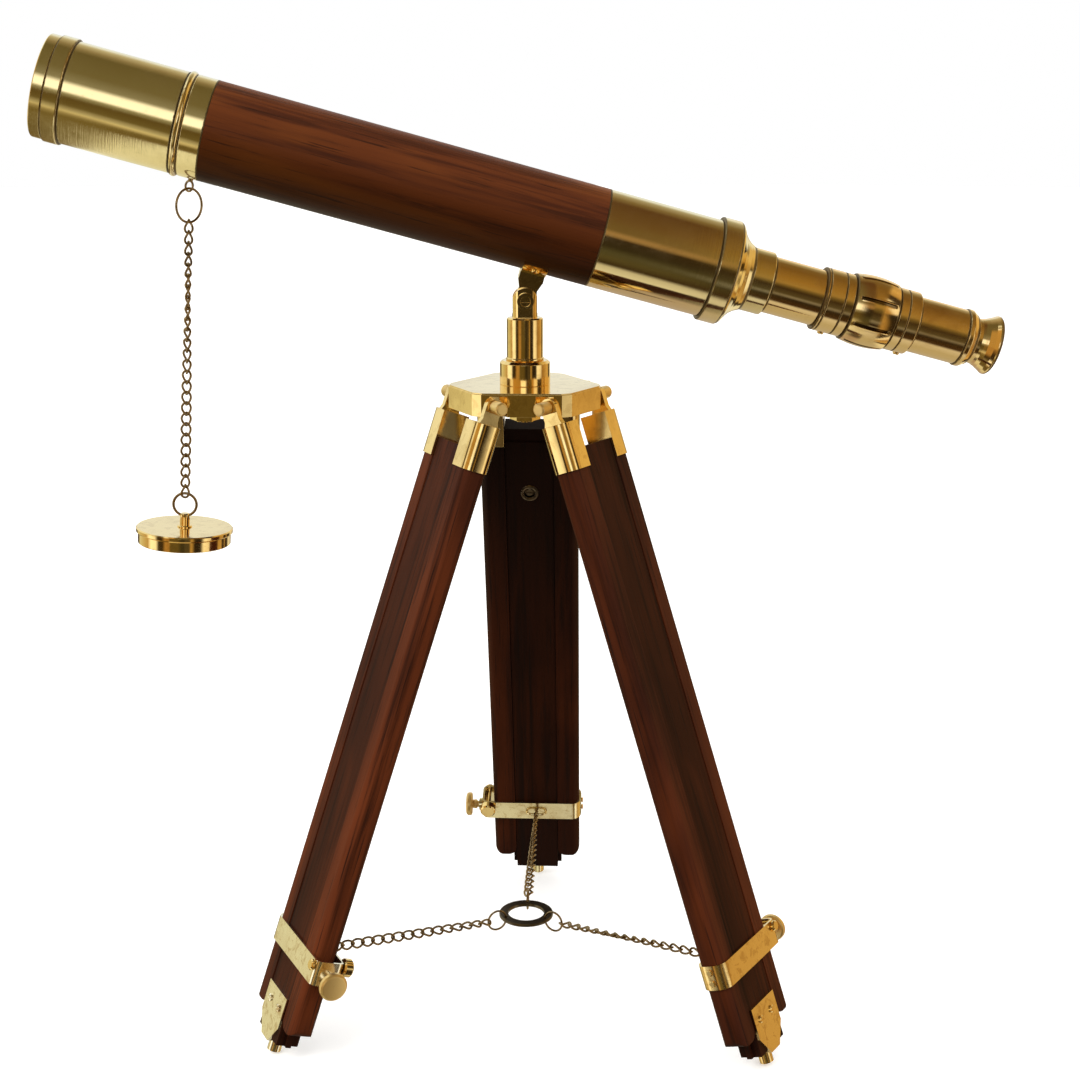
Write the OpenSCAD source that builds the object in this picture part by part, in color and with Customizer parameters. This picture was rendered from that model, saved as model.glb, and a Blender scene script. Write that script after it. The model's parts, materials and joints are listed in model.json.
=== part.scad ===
// Brass and rosewood desk telescope on a folding three-legged stand.
// Frame: +Z up, floor at z = 0, origin on the floor under the middle of the bounding box.
// The objective points towards -X, the eyepiece towards +X, and one leg stands behind (+Y).

/* [Telescope tubes] */
// Diameter of the wooden main tube
tube_d = 44.6; // [43:0.2:47]
// Length of the wooden main tube
tube_len = 178.3; // [165:0.1:190]
// Wall of the wooden main tube
tube_wall = 3.3; // [2.8:0.1:3.8]
// Wall of the brass tubes
brass_wall = 1.1; // [0.8:0.1:1.3]
// Length that each tube joint laps inside its neighbour
spigot_len = 10; // [7:0.5:12]
// Length of the objective cell
cell_len = 12.3; // [11.6:0.1:13.4]
// Length of the smooth band at the front of the objective cell
cell_band = 5.2; // [4.6:0.1:6]
// Depth of the bore that takes the lens cap
cap_bore_len = 7.5; // [6:0.1:8.5]
// Length of the sunshade barrel
barrel_len = 48.4; // [42:0.2:54]
// Length of the front ferrule, bead included
front_ferrule_len = 12.9; // [11.5:0.1:15]
// Height of the turned beads above the tube
bead_up = 0.9; // [0.5:0.1:1.3]
// Width of the turned beads
bead_w = 3.1; // [2.4:0.1:3.6]
// Length of the rear barrel
rear_len = 53.3; // [46:0.1:58]
// Diameter of the flange ring behind the rear barrel
flange_d = 48; // [47:0.2:49.6]
// Width of the flange ring
flange_len = 10.8; // [9:0.1:12.4]

/* [Draw and eyepiece] */
// Diameter of the draw tube
draw_d = 26; // [24:0.2:27]
// Wall of the draw tube and the eyepiece tube
draw_wall = 0.9; // [0.7:0.1:1.1]
// Length of the collar that guides the draw tube
guide_len = 17.1; // [15.4:0.1:19]
// Wall of the collar that guides the draw tube
guide_wall = 1.5; // [1.4:0.05:2]
// Length of draw tube that shows behind the collar
draw_out = 24.9; // [22:0.1:32]
// Length of draw tube that stays inside the main tube
draw_in = 79; // [60:1:95]
// Length of the grip
grip_len = 45.8; // [45:0.1:48]
// Largest diameter of the fluted grip
grip_d = 33.4; // [32.8:0.1:34.4]
// Number of flutes round the grip
flute_count = 8; // [6:1:12]
// Width of the groove between two flutes
flute_gap = 1.6; // [1:0.1:2.2]
// Depth of the groove between two flutes
flute_depth = 0.9; // [0.5:0.1:1.1]
// Diameter of the eyepiece tube
eye_d = 25.8; // [24:0.2:26]
// Length of eyepiece tube that shows behind the grip
eye_out = 24.1; // [20:0.1:27]
// Length of eyepiece tube inside the grip
eye_in = 16; // [12:0.5:18]
// Length of the bead at the end of the eyepiece tube
eye_bead_len = 5.1; // [4.4:0.1:6]
// Length of the flared eyecup behind that bead
eyecup_len = 11.5; // [11:0.1:14]
// Diameter of the eyecup's rim
eyecup_d = 27.7; // [26:0.1:29]

/* [Lenses] */
// Diameter of the objective lens
objective_d = 41; // [39:0.2:41.4]
// Thickness of the objective lens at its edge
objective_edge = 5; // [4:0.1:5.5]
// Width of the seat under a lens edge
lens_seat = 1.8; // [1.2:0.1:2.4]
// Thickness of the small lenses at their edges
small_lens_edge = 2.2; // [1.6:0.1:3]

/* [Pan and tilt head] */
// Upward tilt of the telescope at rest, in degrees
tilt_rest = 15.3; // [5:0.1:25]
// Turn of the telescope about the post at rest, in degrees
pan_rest = 6; // [0:0.5:12]
// Distance of the telescope's axis above the tilt screw
axis_rise = 35.9; // [34:0.1:40]
// Distance of the tilt screw from the front rim, along the telescope
pivot_from_rim = 227.6; // [212:0.2:244]
// Half angle of the saddle that wraps the tube, in degrees
saddle_wrap = 37; // [30:1:45]
// Length of the saddle along the tube
saddle_len = 11.3; // [10:0.1:15]
// Thickness of the saddle plate
saddle_t = 1.5; // [1.2:0.1:2]
// Thickness of the tongue that drops from the saddle
tongue_t = 3.6; // [3:0.1:4.4]
// Radius of the tongue's eye
tongue_r = 5.3; // [4.8:0.1:5.6]
// Diameter of the slotted clevis on the post
clevis_d = 11.7; // [11.4:0.1:13]
// Height of the tilt screw above the post's shoulder
clevis_rise = 7.7; // [7.2:0.1:9]
// Diameter of the tilt screw
tilt_screw_d = 4; // [3:0.1:4.4]
// Diameter of the tilt screw's head
tilt_head_d = 7.7; // [6.5:0.1:8.4]
// Diameter of the turning post
post_d = 16.7; // [15:0.1:18]
// Length of the turning post above the boss
post_len = 19.5; // [15:0.1:25]
// Diameter of the shaft under the post
shaft_d = 8; // [6:0.1:9]
// Diameter of the boss on the head plate
boss_d = 23.3; // [21:0.1:26]
// Height of the boss above the head plate
boss_h = 11; // [8:0.1:14]

/* [Head plate] */
// Distance of the plate's corners from its middle
plate_r = 36.6; // [36:0.1:38.6]
// Half angle between the two corners beside a leg, in degrees
plate_corner = 25; // [23:0.5:27]
// Length cut off each corner
plate_cut = 3; // [2:0.1:4]
// Height of the plate above the leg pins
plate_up = 5.7; // [5.6:0.1:7]
// Depth of the plate below the leg pins
plate_down = 5; // [4:0.1:5.4]
// Thickness of the plate's skin over the leg lugs
plate_skin = 1.4; // [1:0.1:1.5]
// Distance of the leg pins from the stand's axis
hinge_r = 26.4; // [25.5:0.1:27.5]
// Diameter of the leg pins
pin_d = 3; // [2.4:0.1:3.6]
// Diameter of the leg pins' round heads
pin_head_d = 6; // [5:0.1:7]
// Length of the leg pins' round heads
pin_head_len = 7.8; // [5:0.1:9]

/* [Legs] */
// Length of a leg from its pin to the tip of its stud
leg_len = 320; // [290:1:345]
// Angle between an open leg and the vertical, in degrees
leg_splay = 19.6; // [17:0.1:22]
// Width of a leg over its three slats
leg_w = 48.1; // [46:0.1:50]
// Thickness of the outer slats
leg_t = 12; // [11.4:0.1:13]
// Radius of the outer slats' rounded edges
slat_round = 4.4; // [3:0.1:4.8]
// Width of the centre slat
slat_w = 23.4; // [22:0.1:24.4]
// Depth of the centre slat's faces below the outer slats' faces
slat_sunk = 0.5; // [0.3:0.1:0.8]
// Distance of the centre slat's top below the leg pin
slat_top = 21; // [17:0.5:26]
// Depth of the tongues along the centre slat's edges
slat_tongue = 2; // [1.4:0.1:2.4]
// Thickness of those tongues
slat_tongue_t = 2.6; // [2:0.1:3.4]
// Distance of the outer slats' ends above the studs' tips
outer_short = 17; // [13:0.5:24]
// Distance of the ferrules' tops below the leg pin
ferrule_top = 8.5; // [8.4:0.1:10]
// Length of the leg ferrules
ferrule_len = 21.5; // [18:0.1:26]
// Wall of the leg ferrules
ferrule_wall = 0.8; // [0.6:0.1:1]
// Distance of the lugs' inner faces from the leg's middle
lug_in = 19; // [18.6:0.1:19.6]
// Thickness of the lugs
lug_t = 3; // [2.4:0.1:3.4]
// Radius of the lugs' rounded tops
lug_r = 3.9; // [3.4:0.1:3.9]
// Distance of the eyelet below the leg pin
eyelet_down = 57; // [50:0.5:70]
// Outer diameter of the eyelet
eyelet_d = 9; // [7:0.1:10]

/* [Feet and clamp bands] */
// Diameter of the foot studs
stud_d = 6.6; // [5:0.1:7.4]
// Length of the foot studs below the wood
stud_len = 7.5; // [6:0.1:9]
// Length of the shoe plates
shoe_len = 22.5; // [19:0.5:26]
// Thickness of the shoe plates
shoe_t = 1.4; // [1:0.1:1.8]
// Distance of the clamp bands below the leg pin
band_down = 268; // [250:1:274]
// Height of the clamp bands
band_h = 11.5; // [10:0.1:14]
// Thickness of the clamp bands
band_t = 1.1; // [0.8:0.1:1.4]
// Reach of the bands' clamp pockets beyond the leg's edge
pocket_out = 6.4; // [5.6:0.1:8]
// Diameter of the thumb screws' heads
thumb_d = 13; // [10:0.1:15]
// Distance of the chain loops in front of the bands
loop_out = 2.7; // [2.5:0.1:3.4]

/* [Chains and lens cap] */
// Wire of the chain links
wire_d = 1; // [0.9:0.05:1.1]
// Width of the chain links
link_w = 4.8; // [4.4:0.1:5.4]
// Play between two links
link_play = 0.15; // [0.1:0.05:0.3]
// Number of links in each spreader chain
spreader_links = 17; // [15:1:18]
// Number of links in the lens cap's chain
cap_links = 26; // [22:1:27]
// Pitch of the links in the lens cap's chain
cap_pitch = 4.85; // [4.6:0.02:5.2]
// Outer diameter of the spreader ring
spreader_d = 27; // [24:0.2:30]
// Width of the spreader ring's flat band
spreader_band = 4.5; // [4:0.1:5.5]
// Thickness of the spreader ring
spreader_t = 1.6; // [1.2:0.1:2]
// Height of the spreader ring above the floor
spreader_z = 40; // [36:0.5:46]
// Outer diameter of the jump rings on the spreader ring
jump_d = 10.8; // [9:0.1:12]
// Outer diameter of the hanger ring under the front ferrule
hanger_d = 16; // [14:0.1:17]
// Lean of the hanging chain towards the objective, in degrees
hang_lean = 3.7; // [0:0.1:5]
// Turn of the hanger ring about the vertical, in degrees
hanger_turn = 50; // [30:1:60]
// Outer diameter of the ring on the lens cap
cap_ring_d = 11.9; // [10:0.1:13]
// Diameter of the lens cap
cap_d = 44.4; // [43.6:0.1:46]
// Height of the lens cap's upper lip
cap_lip_h = 2.4; // [1.8:0.1:3]
// Height of the lens cap's skirt
cap_skirt_h = 5; // [4:0.1:6]

/* [Fits] */
// Radial clearance of turning and sliding fits
run_fit = 0.05; // [0.02:0.01:0.08]
// Clearance beside parts that move past each other
side_gap = 0.25; // [0.15:0.05:0.35]

/* [Hidden] */
fine = 96;
cut = 1;

tube_r = tube_d / 2;
tube_bore_r = tube_r - tube_wall;
shell_r = tube_r + 0.05;
shell_bore_r = shell_r - brass_wall;
rim_r = tube_r + 0.25;
cap_bore_r = shell_bore_r + 0.1;
bead_r = tube_r + bead_up;
spigot_bore_r = tube_bore_r - 0.8;
objective_r = objective_d / 2;
objective_stop_r = objective_r - lens_seat;
objective_back = cap_bore_len + 8.7;
retainer_len = 3;

barrel_z = cell_len;
front_ferrule_z = barrel_z + barrel_len;
wood_z = front_ferrule_z + front_ferrule_len;
rear_z = wood_z + tube_len;
flange_z = rear_z + rear_len;
guide_z = flange_z + flange_len;
guide_end_z = guide_z + guide_len;
grip_z = guide_end_z + draw_out;
grip_end_z = grip_z + grip_len;
eye_bead_z = grip_end_z + eye_out;
eyecup_z = eye_bead_z + eye_bead_len;
scope_len = eyecup_z + eyecup_len;

draw_r = draw_d / 2;
draw_bore_r = draw_r - draw_wall;
draw_front_z = guide_end_z - draw_in;
draw_seat = 8;
draw_stop_r = draw_r + 1.5;
draw_stop_len = 4;
guide_r = draw_r + run_fit + guide_wall;
eye_r = eye_d / 2;
eye_bore_r = eye_r - draw_wall;
eye_front_z = grip_end_z - eye_in;
grip_r = grip_d / 2;
grip_ring_r = grip_r - 2.05;
grip_bulge_z = grip_z + 14.4;
grip_bulge_len = 20.4;
grip_step_z = grip_bulge_z + grip_bulge_len + 0.9;
grip_screw_z = [grip_z + 6, grip_end_z - 2.4];
grip_screw_len = 1.4;
eyecup_r = eyecup_d / 2;
eyecup_neck_r = eyecup_r - 3.1;

clevis_r = clevis_d / 2;
post_r = post_d / 2;
shaft_r = shaft_d / 2;
tilt_r = tilt_screw_d / 2;
clevis_flat = clevis_r - 1.1;

foot_r = stud_d / 2;
hinge_z = leg_len * cos(leg_splay) + foot_r * sin(leg_splay);
plate_top = hinge_z + plate_up;
boss_top = plate_top + boss_h;
post_top = boss_top + post_len;
pivot_z = post_top + clevis_rise;
pin_r = pin_d / 2;
pin_head_y = lug_in + lug_t + 0.3;

slat_gap_y = slat_w / 2 + side_gap;
slat_t = leg_t - 2 * slat_sunk;
slat_end = leg_len - stud_len;
outer_end = leg_len - outer_short;
ferrule_cap = 1.5;
groove_stop = 1;
band_fit = 0.1;
band_in_x = leg_t / 2 + band_fit;
band_out_x = band_in_x + band_t;
band_out_y = leg_w / 2 + band_fit + band_t;
pocket_y = leg_w / 2 + pocket_out;
loop_x = band_out_x + loop_out;
loop_wire = 1.4;
thumb_r = 1.8;
thumb_down = band_down + 2;
bolt_down = band_down - 2.9;
bolt_r = 1.1;
bolt_y = leg_w / 2 + pocket_out / 2 - 0.2;

wire_r = wire_d / 2;
link_r = link_w / 2 - wire_r;
jump_r = jump_d / 2 - wire_r;
spreader_r = spreader_d / 2;
spreader_hole_r = spreader_r - spreader_band / 2;
jump_x = spreader_hole_r + jump_r;
chain_end_x = jump_x + jump_r - wire_d - link_play;
chain_lead = loop_wire / 2 + wire_r + 0.55;
loop_bar_x = hinge_r + band_down * sin(leg_splay) - loop_x * cos(leg_splay);
loop_bar_z = hinge_z - band_down * cos(leg_splay) - loop_x * sin(leg_splay);
chain_reach = norm([loop_bar_x - chain_end_x, loop_bar_z - spreader_z]);
chain_drop = asin((loop_bar_z - spreader_z) / chain_reach);
chain_start_x = loop_bar_x + chain_lead * cos(chain_drop);
chain_start_z = loop_bar_z + chain_lead * sin(chain_drop);
chain_run = chain_reach + chain_lead;
spreader_pitch = (chain_run - wire_d - link_play) / spreader_links;

hook_wire = 1;
hook_r = 2.3;
hook_z = front_ferrule_z + front_ferrule_len - 3.4;
hook_x = shell_r + 0.9 + hook_r;
hanger_wire = 1.1;
hanger_r = (hanger_d - hanger_wire) / 2;
hang_sag = hook_r - hook_wire / 2 - hanger_wire / 2 - side_gap;
cap_ring_wire = 1.3;
cap_ring_r = (cap_ring_d - cap_ring_wire) / 2;
cap_chain_top = -2 * hanger_r + hanger_wire / 2 + wire_r + link_play;
cap_chain_len = cap_links * cap_pitch + wire_d + link_play;
cap_ring_top = cap_chain_top - cap_chain_len + wire_r + cap_ring_wire / 2 + link_play;
cap_ring_bottom = cap_ring_top - 2 * cap_ring_r;
cap_post_len = 6.4;
cap_hole_up = 4.6;
cap_hole_r = cap_ring_wire / 2 + 0.6;
cap_top = cap_ring_bottom - cap_hole_up;

// The stand's axis is set so that the whole part is centred over the origin.
rim_spread = norm([sin(tilt_rest) * cos(pan_rest), sin(pan_rest)]);
front_x = pivot_from_rim * cos(tilt_rest) - axis_rise * sin(tilt_rest);
back_x = (scope_len - pivot_from_rim) * cos(tilt_rest) + axis_rise * sin(tilt_rest);
reach_front = front_x * cos(pan_rest) + rim_r * rim_spread;
reach_back = back_x * cos(pan_rest) + eyecup_r * rim_spread;
stand_x = (reach_front - reach_back) / 2;
foot_circle_r = hinge_r + leg_len * sin(leg_splay);
thumb_end_y = pocket_y + 9.9;
reach_rear = foot_circle_r + 4.4;
reach_side = (hinge_r + thumb_down * sin(leg_splay)) / 2 + thumb_end_y * cos(30) + 2.5;
stand_y = (reach_side - reach_rear) / 2;

sides = ["rear", "left", "right"];
azimuth = [90, 210, 330];

brass = "#d8b45a";
old_brass = "#8d7440";
dark_brass = "#4b4230";
rosewood = "#6b2c16";
leg_wood = "#572014";
glass = "#cfe3ea";

// ---- Shared shapes and frames ----

// Local z runs along the telescope from the front rim, and local x points down.
module scope_frame() {
    translate([stand_x, stand_y, pivot_z])
        rotate([0, 0, pan_rest])
            rotate([0, 90 + tilt_rest, 0])
                translate([-axis_rise, 0, -pivot_from_rim])
                    children();
}

// Origin on the tilt screw's axis, turned with the post.
module post_frame() {
    translate([stand_x, stand_y, pivot_z]) rotate([0, 0, pan_rest]) children();
}

// Local x points outwards over leg k, with the origin on the floor.
module side_frame(k) {
    translate([stand_x, stand_y, 0]) rotate([0, 0, azimuth[k]]) children();
}

// Origin on the leg pin; local z points up the leg, x outwards and y along the pin.
module leg_frame(k) {
    side_frame(k) translate([hinge_r, 0, hinge_z]) rotate([0, -leg_splay, 0]) children();
}

// Origin on the wire of the hanger ring where it rests in the cap hook's eye, z up the chain.
module hang_frame() {
    eye_x = -(hook_x - axis_rise) * sin(tilt_rest) + (hook_z - pivot_from_rim) * cos(tilt_rest);
    eye_z = -(hook_x - axis_rise) * cos(tilt_rest) - (hook_z - pivot_from_rim) * sin(tilt_rest);
    post_frame() translate([eye_x, 0, eye_z - hang_sag]) rotate([0, hang_lean, 0]) children();
}

module turned(points) {
    rotate_extrude($fn = fine) polygon(points);
}

// Turned tube from z0 to z1 with its outer edges broken by c.
module tube(ro, ri, z0, z1, c = 0) {
    turned([[ri, z0], [ro - c, z0], [ro, z0 + c], [ro, z1 - c], [ro - c, z1], [ri, z1]]);
}

// Half-round bead of width w that stands to radius r, from z0.
module bead(r, w, z0) {
    translate([0, 0, z0 + w / 2])
        rotate_extrude($fn = fine) translate([r - w / 2, 0]) circle(w / 2);
}

module torus(r, wire) {
    rotate_extrude($fn = fine) translate([r, 0]) circle(wire / 2, $fn = 48);
}

// Lens whose rim runs from z = 0 to edge; its faces bulge inside a flat seat.
module lens(r, seat, edge, front, back) {
    face_r = r - seat;
    front_ball = (face_r * face_r + front * front) / (2 * front);
    back_ball = (face_r * face_r + back * back) / (2 * back);
    rotate_extrude($fn = fine) {
        square([r, edge]);
        intersection() {
            translate([0, -front]) square([face_r, edge + front + back]);
            translate([0, front_ball - front]) circle(front_ball, $fn = 180);
            translate([0, edge + back - back_ball]) circle(back_ball, $fn = 180);
        }
    }
}

// Chain link in the x-z plane with wire centres at x = 0 and x = -span.
module link(span) {
    straight = span - 2 * link_r;
    translate([-link_r, 0, 0]) rotate([90, 0, 0]) rotate([0, 0, -90]) half_ring();
    translate([-link_r - straight, 0, 0]) rotate([90, 0, 0]) rotate([0, 0, 90]) half_ring();
    for (side = [-1, 1])
        translate([-link_r - straight, 0, side * link_r])
            rotate([0, 90, 0]) cylinder(r = wire_r, h = straight, $fn = 48);
}

module half_ring() {
    rotate_extrude(angle = 180, $fn = fine) translate([link_r, 0]) circle(wire_r, $fn = 48);
}

// Links along -x, each rolled a quarter turn from the last.
module chain(count, pitch) {
    for (i = [0 : count - 1])
        translate([-i * pitch, 0, 0])
            rotate([i % 2 == 0 ? 45 : -45, 0, 0])
                link(pitch + wire_d + link_play);
}

// Rectangle t by w, centred, with rounded corners.
module rounded_slab(t, w, r) {
    square([t, w - 2 * r], center = true);
    square([t - 2 * r, w], center = true);
    for (sx = [-1, 1], sy = [-1, 1])
        translate([sx * (t / 2 - r), sy * (w / 2 - r)]) circle(r, $fn = 64);
}

// Countersunk or cheese head with a driver slot, pointing along +z.
module slotted_head(r, h) {
    difference() {
        union() {
            cylinder(r = r, h = h * 0.6, $fn = 48);
            translate([0, 0, h * 0.6]) cylinder(r1 = r, r2 = r * 0.72, h = h * 0.4, $fn = 48);
        }
        translate([0, 0, h]) cube([r * 0.35, 2 * r + cut, h * 0.9], center = true);
    }
}

// ---- Telescope ----

module objective_cell() {
    color(brass) scope_frame() difference() {
        union() {
            tube(rim_r, objective_stop_r, 0, cell_band + 1, 0.4);
            turned([
                [objective_stop_r, cell_band], [bead_r - 0.3, cell_band], [bead_r, cell_band + 0.3],
                [bead_r, cell_len - 1.8], [bead_r - 0.25, cell_len - 0.8],
                [bead_r - 0.85, cell_len], [objective_stop_r, cell_len]
            ]);
            tube(shell_bore_r, objective_stop_r, cell_len - cut, cell_len + spigot_len);
        }
        translate([0, 0, -cut]) cylinder(r = cap_bore_r, h = cap_bore_len + cut, $fn = fine);
        cylinder(r = objective_r + run_fit, h = objective_back, $fn = fine);
    }
}

module objective_lens() {
    color(glass) scope_frame() translate([0, 0, objective_back - objective_edge])
        lens(objective_r, lens_seat + 0.1, objective_edge, 1.6, 1.2);
}

module lens_retainer() {
    ring_z = objective_back - objective_edge - retainer_len;
    color(brass) scope_frame() difference() {
        tube(objective_r + run_fit, objective_stop_r, ring_z, ring_z + retainer_len);
        for (turn = [0, 180]) rotate([0, 0, turn])
            translate([objective_stop_r, 0, ring_z]) cube([3, 1.2, 1.6], center = true);
    }
}

module sunshade_barrel() {
    color(brass) scope_frame() tube(shell_r, shell_bore_r, barrel_z, front_ferrule_z);
}

module front_ferrule() {
    color(brass) scope_frame() difference() {
        union() {
            tube(shell_bore_r, spigot_bore_r, front_ferrule_z - spigot_len, front_ferrule_z + cut);
            bead(bead_r, bead_w, front_ferrule_z);
            tube(shell_r, spigot_bore_r, front_ferrule_z + 0.6, wood_z);
            tube(tube_bore_r, spigot_bore_r, wood_z - cut, wood_z + spigot_len);
        }
        translate([0, 0, front_ferrule_z + bead_w + 0.3])
            rotate_extrude($fn = fine) translate([shell_r + 0.1, 0]) circle(0.45, $fn = 24);
        translate([0, 0, hook_z]) rotate([0, 90, 0]) cylinder(r = 1.1, h = tube_d, $fn = 48);
    }
}

module wood_tube() {
    color(rosewood) scope_frame() difference() {
        tube(tube_r, tube_bore_r, wood_z, rear_z);
        saddle_screw_holes();
    }
}

module saddle_screw_holes() {
    for (side = [-1, 1])
        rotate([0, 0, side * (saddle_wrap - 10)])
            translate([tube_bore_r + 0.8, 0, pivot_from_rim])
                rotate([0, 90, 0]) cylinder(r = 0.8, h = tube_wall + saddle_t + cut, $fn = 32);
}

module baffle_tube() {
    liner_z = wood_z + spigot_len;
    liner_end = rear_z - spigot_len;
    color(dark_brass) scope_frame() {
        tube(tube_bore_r, tube_bore_r - 0.6, liner_z, liner_end);
        for (stop = [0.12, 0.55])
            tube(tube_bore_r - 0.5, 15.4, liner_z + stop * (liner_end - liner_z),
                liner_z + stop * (liner_end - liner_z) + 0.8);
    }
}

module rear_barrel() {
    color(brass) scope_frame() {
        tube(tube_bore_r, spigot_bore_r, rear_z - spigot_len, rear_z + 1.6);
        tube(shell_r, spigot_bore_r, rear_z, rear_z + 1.6);
        tube(shell_r, shell_bore_r, rear_z, flange_z);
    }
}

// Flange ring, ogee and guide collar, turned from one casting.
module draw_collar() {
    flange_r = flange_d / 2;
    bore_r = draw_r + run_fit;
    cavity_r = draw_stop_r + 1;
    color(brass) scope_frame() {
        turned([
            [cavity_r, flange_z - 8], [shell_bore_r, flange_z - 8], [shell_bore_r, flange_z],
            [flange_r - 0.8, flange_z], [flange_r, flange_z + 0.8],
            [flange_r, guide_z - 2.2], [flange_r - 0.8, guide_z - 1],
            [flange_r - 2.4, guide_z], [flange_r - 4.4, guide_z + 1.2],
            [flange_r - 6.2, guide_z + 2.7], [flange_r - 7.8, guide_z + 4.6],
            [guide_r + 0.6, guide_z + 6.6], [guide_r, guide_z + 7.6],
            [guide_r, guide_end_z - 1], [guide_r - 0.5, guide_end_z],
            [bore_r, guide_end_z], [bore_r, guide_z - 3], [cavity_r, guide_z - 3]
        ]);
    }
}

module draw_tube() {
    color(brass) scope_frame() {
        tube(draw_r, draw_bore_r, draw_front_z, grip_z + draw_seat);
        tube(draw_stop_r, draw_bore_r, draw_front_z, draw_front_z + draw_stop_len, 0.4);
    }
}

module erector_cell() {
    cell_r = draw_bore_r - run_fit;
    color(dark_brass) scope_frame() difference() {
        tube(cell_r, cell_r - 2.6, draw_front_z, draw_front_z + 38);
        for (z = [0, 38 - small_lens_edge])
            translate([0, 0, draw_front_z + z - 0.01])
                cylinder(r = cell_r - 1.4, h = small_lens_edge + 0.02, $fn = fine);
    }
}

module erector_lenses() {
    lens_r = draw_bore_r - run_fit - 1.4;
    color(glass) scope_frame() for (z = [0, 38 - small_lens_edge])
        translate([0, 0, draw_front_z + z]) lens(lens_r, 1.3, small_lens_edge, 0.9, 0.6);
}

module grip_barrel() {
    sleeve_r = eye_r + run_fit;
    color(brass) scope_frame() difference() {
        union() {
            tube(grip_ring_r, draw_bore_r, grip_z, grip_bulge_z - 0.9, 0.5);
            tube(grip_ring_r - 0.5, draw_bore_r, grip_z + cut, grip_bulge_z + cut);
            fluted_bulge();
            tube(grip_ring_r - 0.5, sleeve_r, grip_step_z - 2, grip_step_z + cut);
            tube(grip_ring_r, sleeve_r, grip_step_z, grip_end_z, 0.5);
        }
        for (z = [grip_z + 1.6, grip_z + 9.3, grip_step_z + 4.2]) translate([0, 0, z])
            rotate_extrude($fn = fine) translate([grip_ring_r + 0.05, 0]) circle(0.42, $fn = 24);
        translate([0, 0, grip_z - cut])
            cylinder(r = draw_r, h = draw_seat + cut, $fn = fine);
        translate([0, 0, grip_z + draw_seat + 2.4])
            cylinder(r = sleeve_r, h = grip_len, $fn = fine);
        for (z = grip_screw_z) translate([grip_ring_r - grip_screw_len, 0, z])
            rotate([0, 90, 0]) cylinder(r = 0.7, h = grip_screw_len + cut, $fn = 32);
    }
}

// Barrel-shaped grip with narrow grooves between its wide flutes.
module fluted_bulge() {
    rise = 1.15;
    ball = (grip_bulge_len * grip_bulge_len / 4 + rise * rise) / (2 * rise);
    groove_r = (flute_gap * flute_gap / 4 + flute_depth * flute_depth) / (2 * flute_depth);
    difference() {
        translate([0, 0, grip_bulge_z + grip_bulge_len / 2])
            rotate_extrude($fn = fine) intersection() {
                translate([draw_bore_r, -grip_bulge_len / 2])
                    square([grip_r, grip_bulge_len]);
                translate([grip_r - ball, 0]) circle(ball, $fn = 180);
            }
        for (i = [0 : flute_count - 1])
            rotate([0, 0, (i + 0.5) * 360 / flute_count])
                translate([grip_r - flute_depth + groove_r, 0, grip_bulge_z + 2])
                    cylinder(r = groove_r, h = grip_bulge_len - 4, $fn = 32);
    }
}

module grip_screws() {
    color(brass) scope_frame() for (z = grip_screw_z)
        translate([grip_ring_r, 0, z]) rotate([0, 90, 0]) {
            slotted_head(1.5, 1);
            translate([0, 0, -grip_screw_len]) cylinder(r = 0.7, h = grip_screw_len, $fn = 32);
        }
}

module eyepiece_tube() {
    color(brass) scope_frame() {
        tube(eye_r, eye_bore_r, eye_front_z, eye_bead_z + cut);
        turned([
            [eye_bore_r - 1.5, eye_bead_z], [eye_r, eye_bead_z], [eye_r + 0.6, eye_bead_z + 0.7],
            [eye_r + 0.6, eye_bead_z + 2.2], [eye_r + 0.2, eye_bead_z + 3],
            [eye_r - 0.8, eyecup_z - 0.4], [eye_r - 1, eyecup_z], [eye_bore_r - 1.5, eyecup_z]
        ]);
    }
}

module eyepiece_lenses() {
    color(glass) scope_frame() {
        translate([0, 0, eye_front_z + 1])
            lens(eye_bore_r - run_fit, 0.5, small_lens_edge, 0.9, 1.4);
        translate([0, 0, eyecup_z + 1.2])
            lens(eyecup_neck_r - 3.4, 1.7, small_lens_edge, 1.2, 0.8);
    }
}

// Neck, flared bell and hollow face of the eyecup.
module eyecup() {
    lens_r = eyecup_neck_r - 3.4;
    end_z = eyecup_z + eyecup_len;
    color(brass) scope_frame() difference() {
        turned([
            [lens_r - 1.6, eyecup_z - 4], [eye_bore_r - 1.5, eyecup_z - 4],
            [eye_bore_r - 1.5, eyecup_z], [eyecup_neck_r + 0.6, eyecup_z],
            [eyecup_neck_r - 0.2, eyecup_z + 0.8], [eyecup_neck_r - 0.2, eyecup_z + 2.6],
            [eyecup_neck_r + 0.1, eyecup_z + 4], [eyecup_neck_r + 0.8, eyecup_z + 5.8],
            [eyecup_r - 1.1, end_z - 3.2], [eyecup_r - 0.2, end_z - 1.7],
            [eyecup_r, end_z - 1.2], [eyecup_r, end_z - 0.6], [eyecup_r - 0.5, end_z],
            [eyecup_r - 2, end_z], [eyecup_r - 4.2, end_z - 2.2],
            [eyecup_r - 6.4, end_z - 4.6], [lens_r - 1.6, end_z - 5.6]
        ]);
        translate([0, 0, eyecup_z + 1.2])
            cylinder(r = lens_r + run_fit, h = small_lens_edge, $fn = fine);
    }
}

module cap_hook() {
    color(old_brass) scope_frame() {
        translate([hook_x, 0, hook_z]) rotate([-hanger_turn, 0, 0])
            torus(hook_r, hook_wire);
        translate([shell_r - 2.2, 0, hook_z]) rotate([0, 90, 0])
            cylinder(r = 1.1, h = 3.2, $fn = 48);
    }
}

// ---- Head ----

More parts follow.
